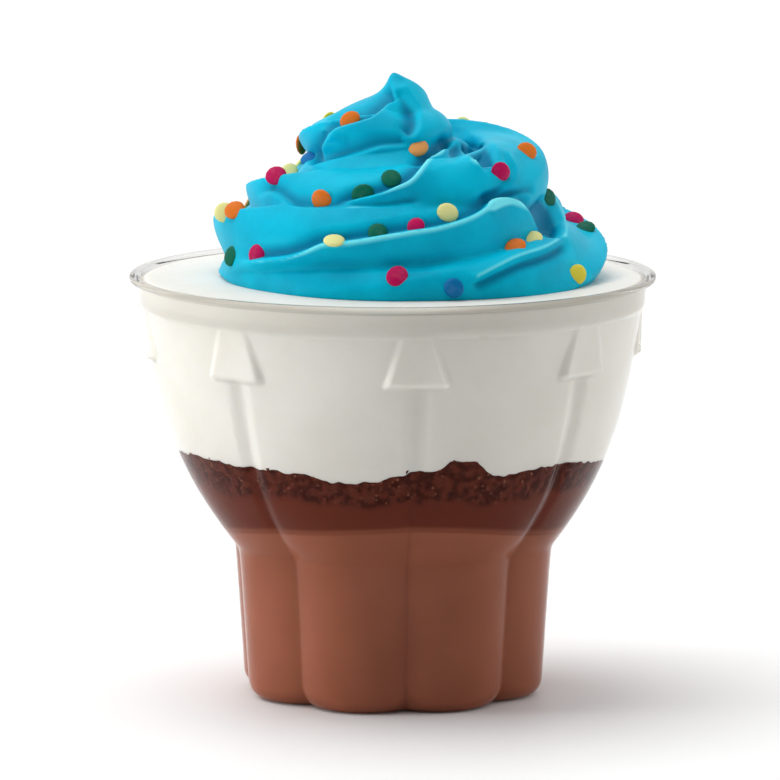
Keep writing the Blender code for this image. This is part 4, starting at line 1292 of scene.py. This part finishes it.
CAMERA_DISTANCE = 1.3
CAMERA_AIM = Vector((-0.0005, 0.0, 0.0565))
SENSOR_WIDTH = 36.0
PICTURE_WIDTH = 780 / 5360  # pixels across the picture, by pixels for each metre of the object
LIGHT_AIM = Vector((0.0, 0.0, 0.06))
SUN_FROM = Vector((-0.3, 0.1, 0.949))
SUN_STRENGTH = 1.7
SUN_SPREAD = math.radians(50.0)
ROOM_BEHIND = 1.0
ROOM_IN_FRONT = 0.3

scene = bpy.context.scene
scene.view_settings.view_transform = "Standard"

camera = placed("camera", bpy.data.cameras.new("camera"))
camera.location = CAMERA_AIM + Vector(TO_VIEWER) * CAMERA_DISTANCE
camera.rotation_euler = (math.pi / 2 - SEEN_FROM, 0.0, 0.0)
camera.data.sensor_width = SENSOR_WIDTH
camera.data.lens = SENSOR_WIDTH * CAMERA_DISTANCE / PICTURE_WIDTH
camera.data.clip_start = 0.05
camera.data.clip_end = 20.0
scene.camera = camera


def softbox(name, place, size, power):
    """A square-cornered window of light, turned to the dessert."""
    light = bpy.data.lights.new(name, "AREA")
    light.shape = "RECTANGLE"
    light.size, light.size_y = size
    light.energy = power
    made = placed(name, light)
    made.location = place
    made.rotation_euler = (LIGHT_AIM - Vector(place)).to_track_quat("-Z", "Y").to_euler()


softbox("window on the left", place=(-0.75, -0.1, 0.2), size=(0.2, 0.35), power=1.45)
softbox("light on the right", place=(0.6, 0.15, 0.15), size=(0.3, 0.4), power=0.55)

sun = placed("high window on the left", bpy.data.lights.new("high window", "SUN"))
sun.data.energy = SUN_STRENGTH
sun.data.angle = SUN_SPREAD
sun.rotation_euler = SUN_FROM.to_track_quat("Z", "Y").to_euler()

world = bpy.data.worlds.new("pale room")
scene.world = world
world.use_nodes = True
room = world.node_tree
direction = wire(room, "ShaderNodeTexCoord").outputs["Generated"]
depth = wire(room, "ShaderNodeSeparateXYZ", {0: direction}).outputs["Y"]
room_range = {"Value": depth, "From Min": -1.0, "To Min": ROOM_IN_FRONT, "To Max": ROOM_BEHIND}
brightness = wire(room, "ShaderNodeMapRange", room_range)
room.nodes["Background"].inputs["Color"].default_value = (1.0, 1.0, 1.0, 1.0)
room.links.new(brightness.outputs[0], room.nodes["Background"].inputs["Strength"])

floor_bm = bmesh.new()
bmesh.ops.create_circle(floor_bm, cap_ends=True, segments=96, radius=4.0)
floor_mesh = bpy.data.meshes.new("table")
floor_bm.to_mesh(floor_mesh)
floor_bm.free()
table = placed("table", floor_mesh)
table_finish, _, _ = new_finish("white table", Base_Color=(0.9, 0.9, 0.9, 1.0), Roughness=0.6)
table.data.materials.append(table_finish)
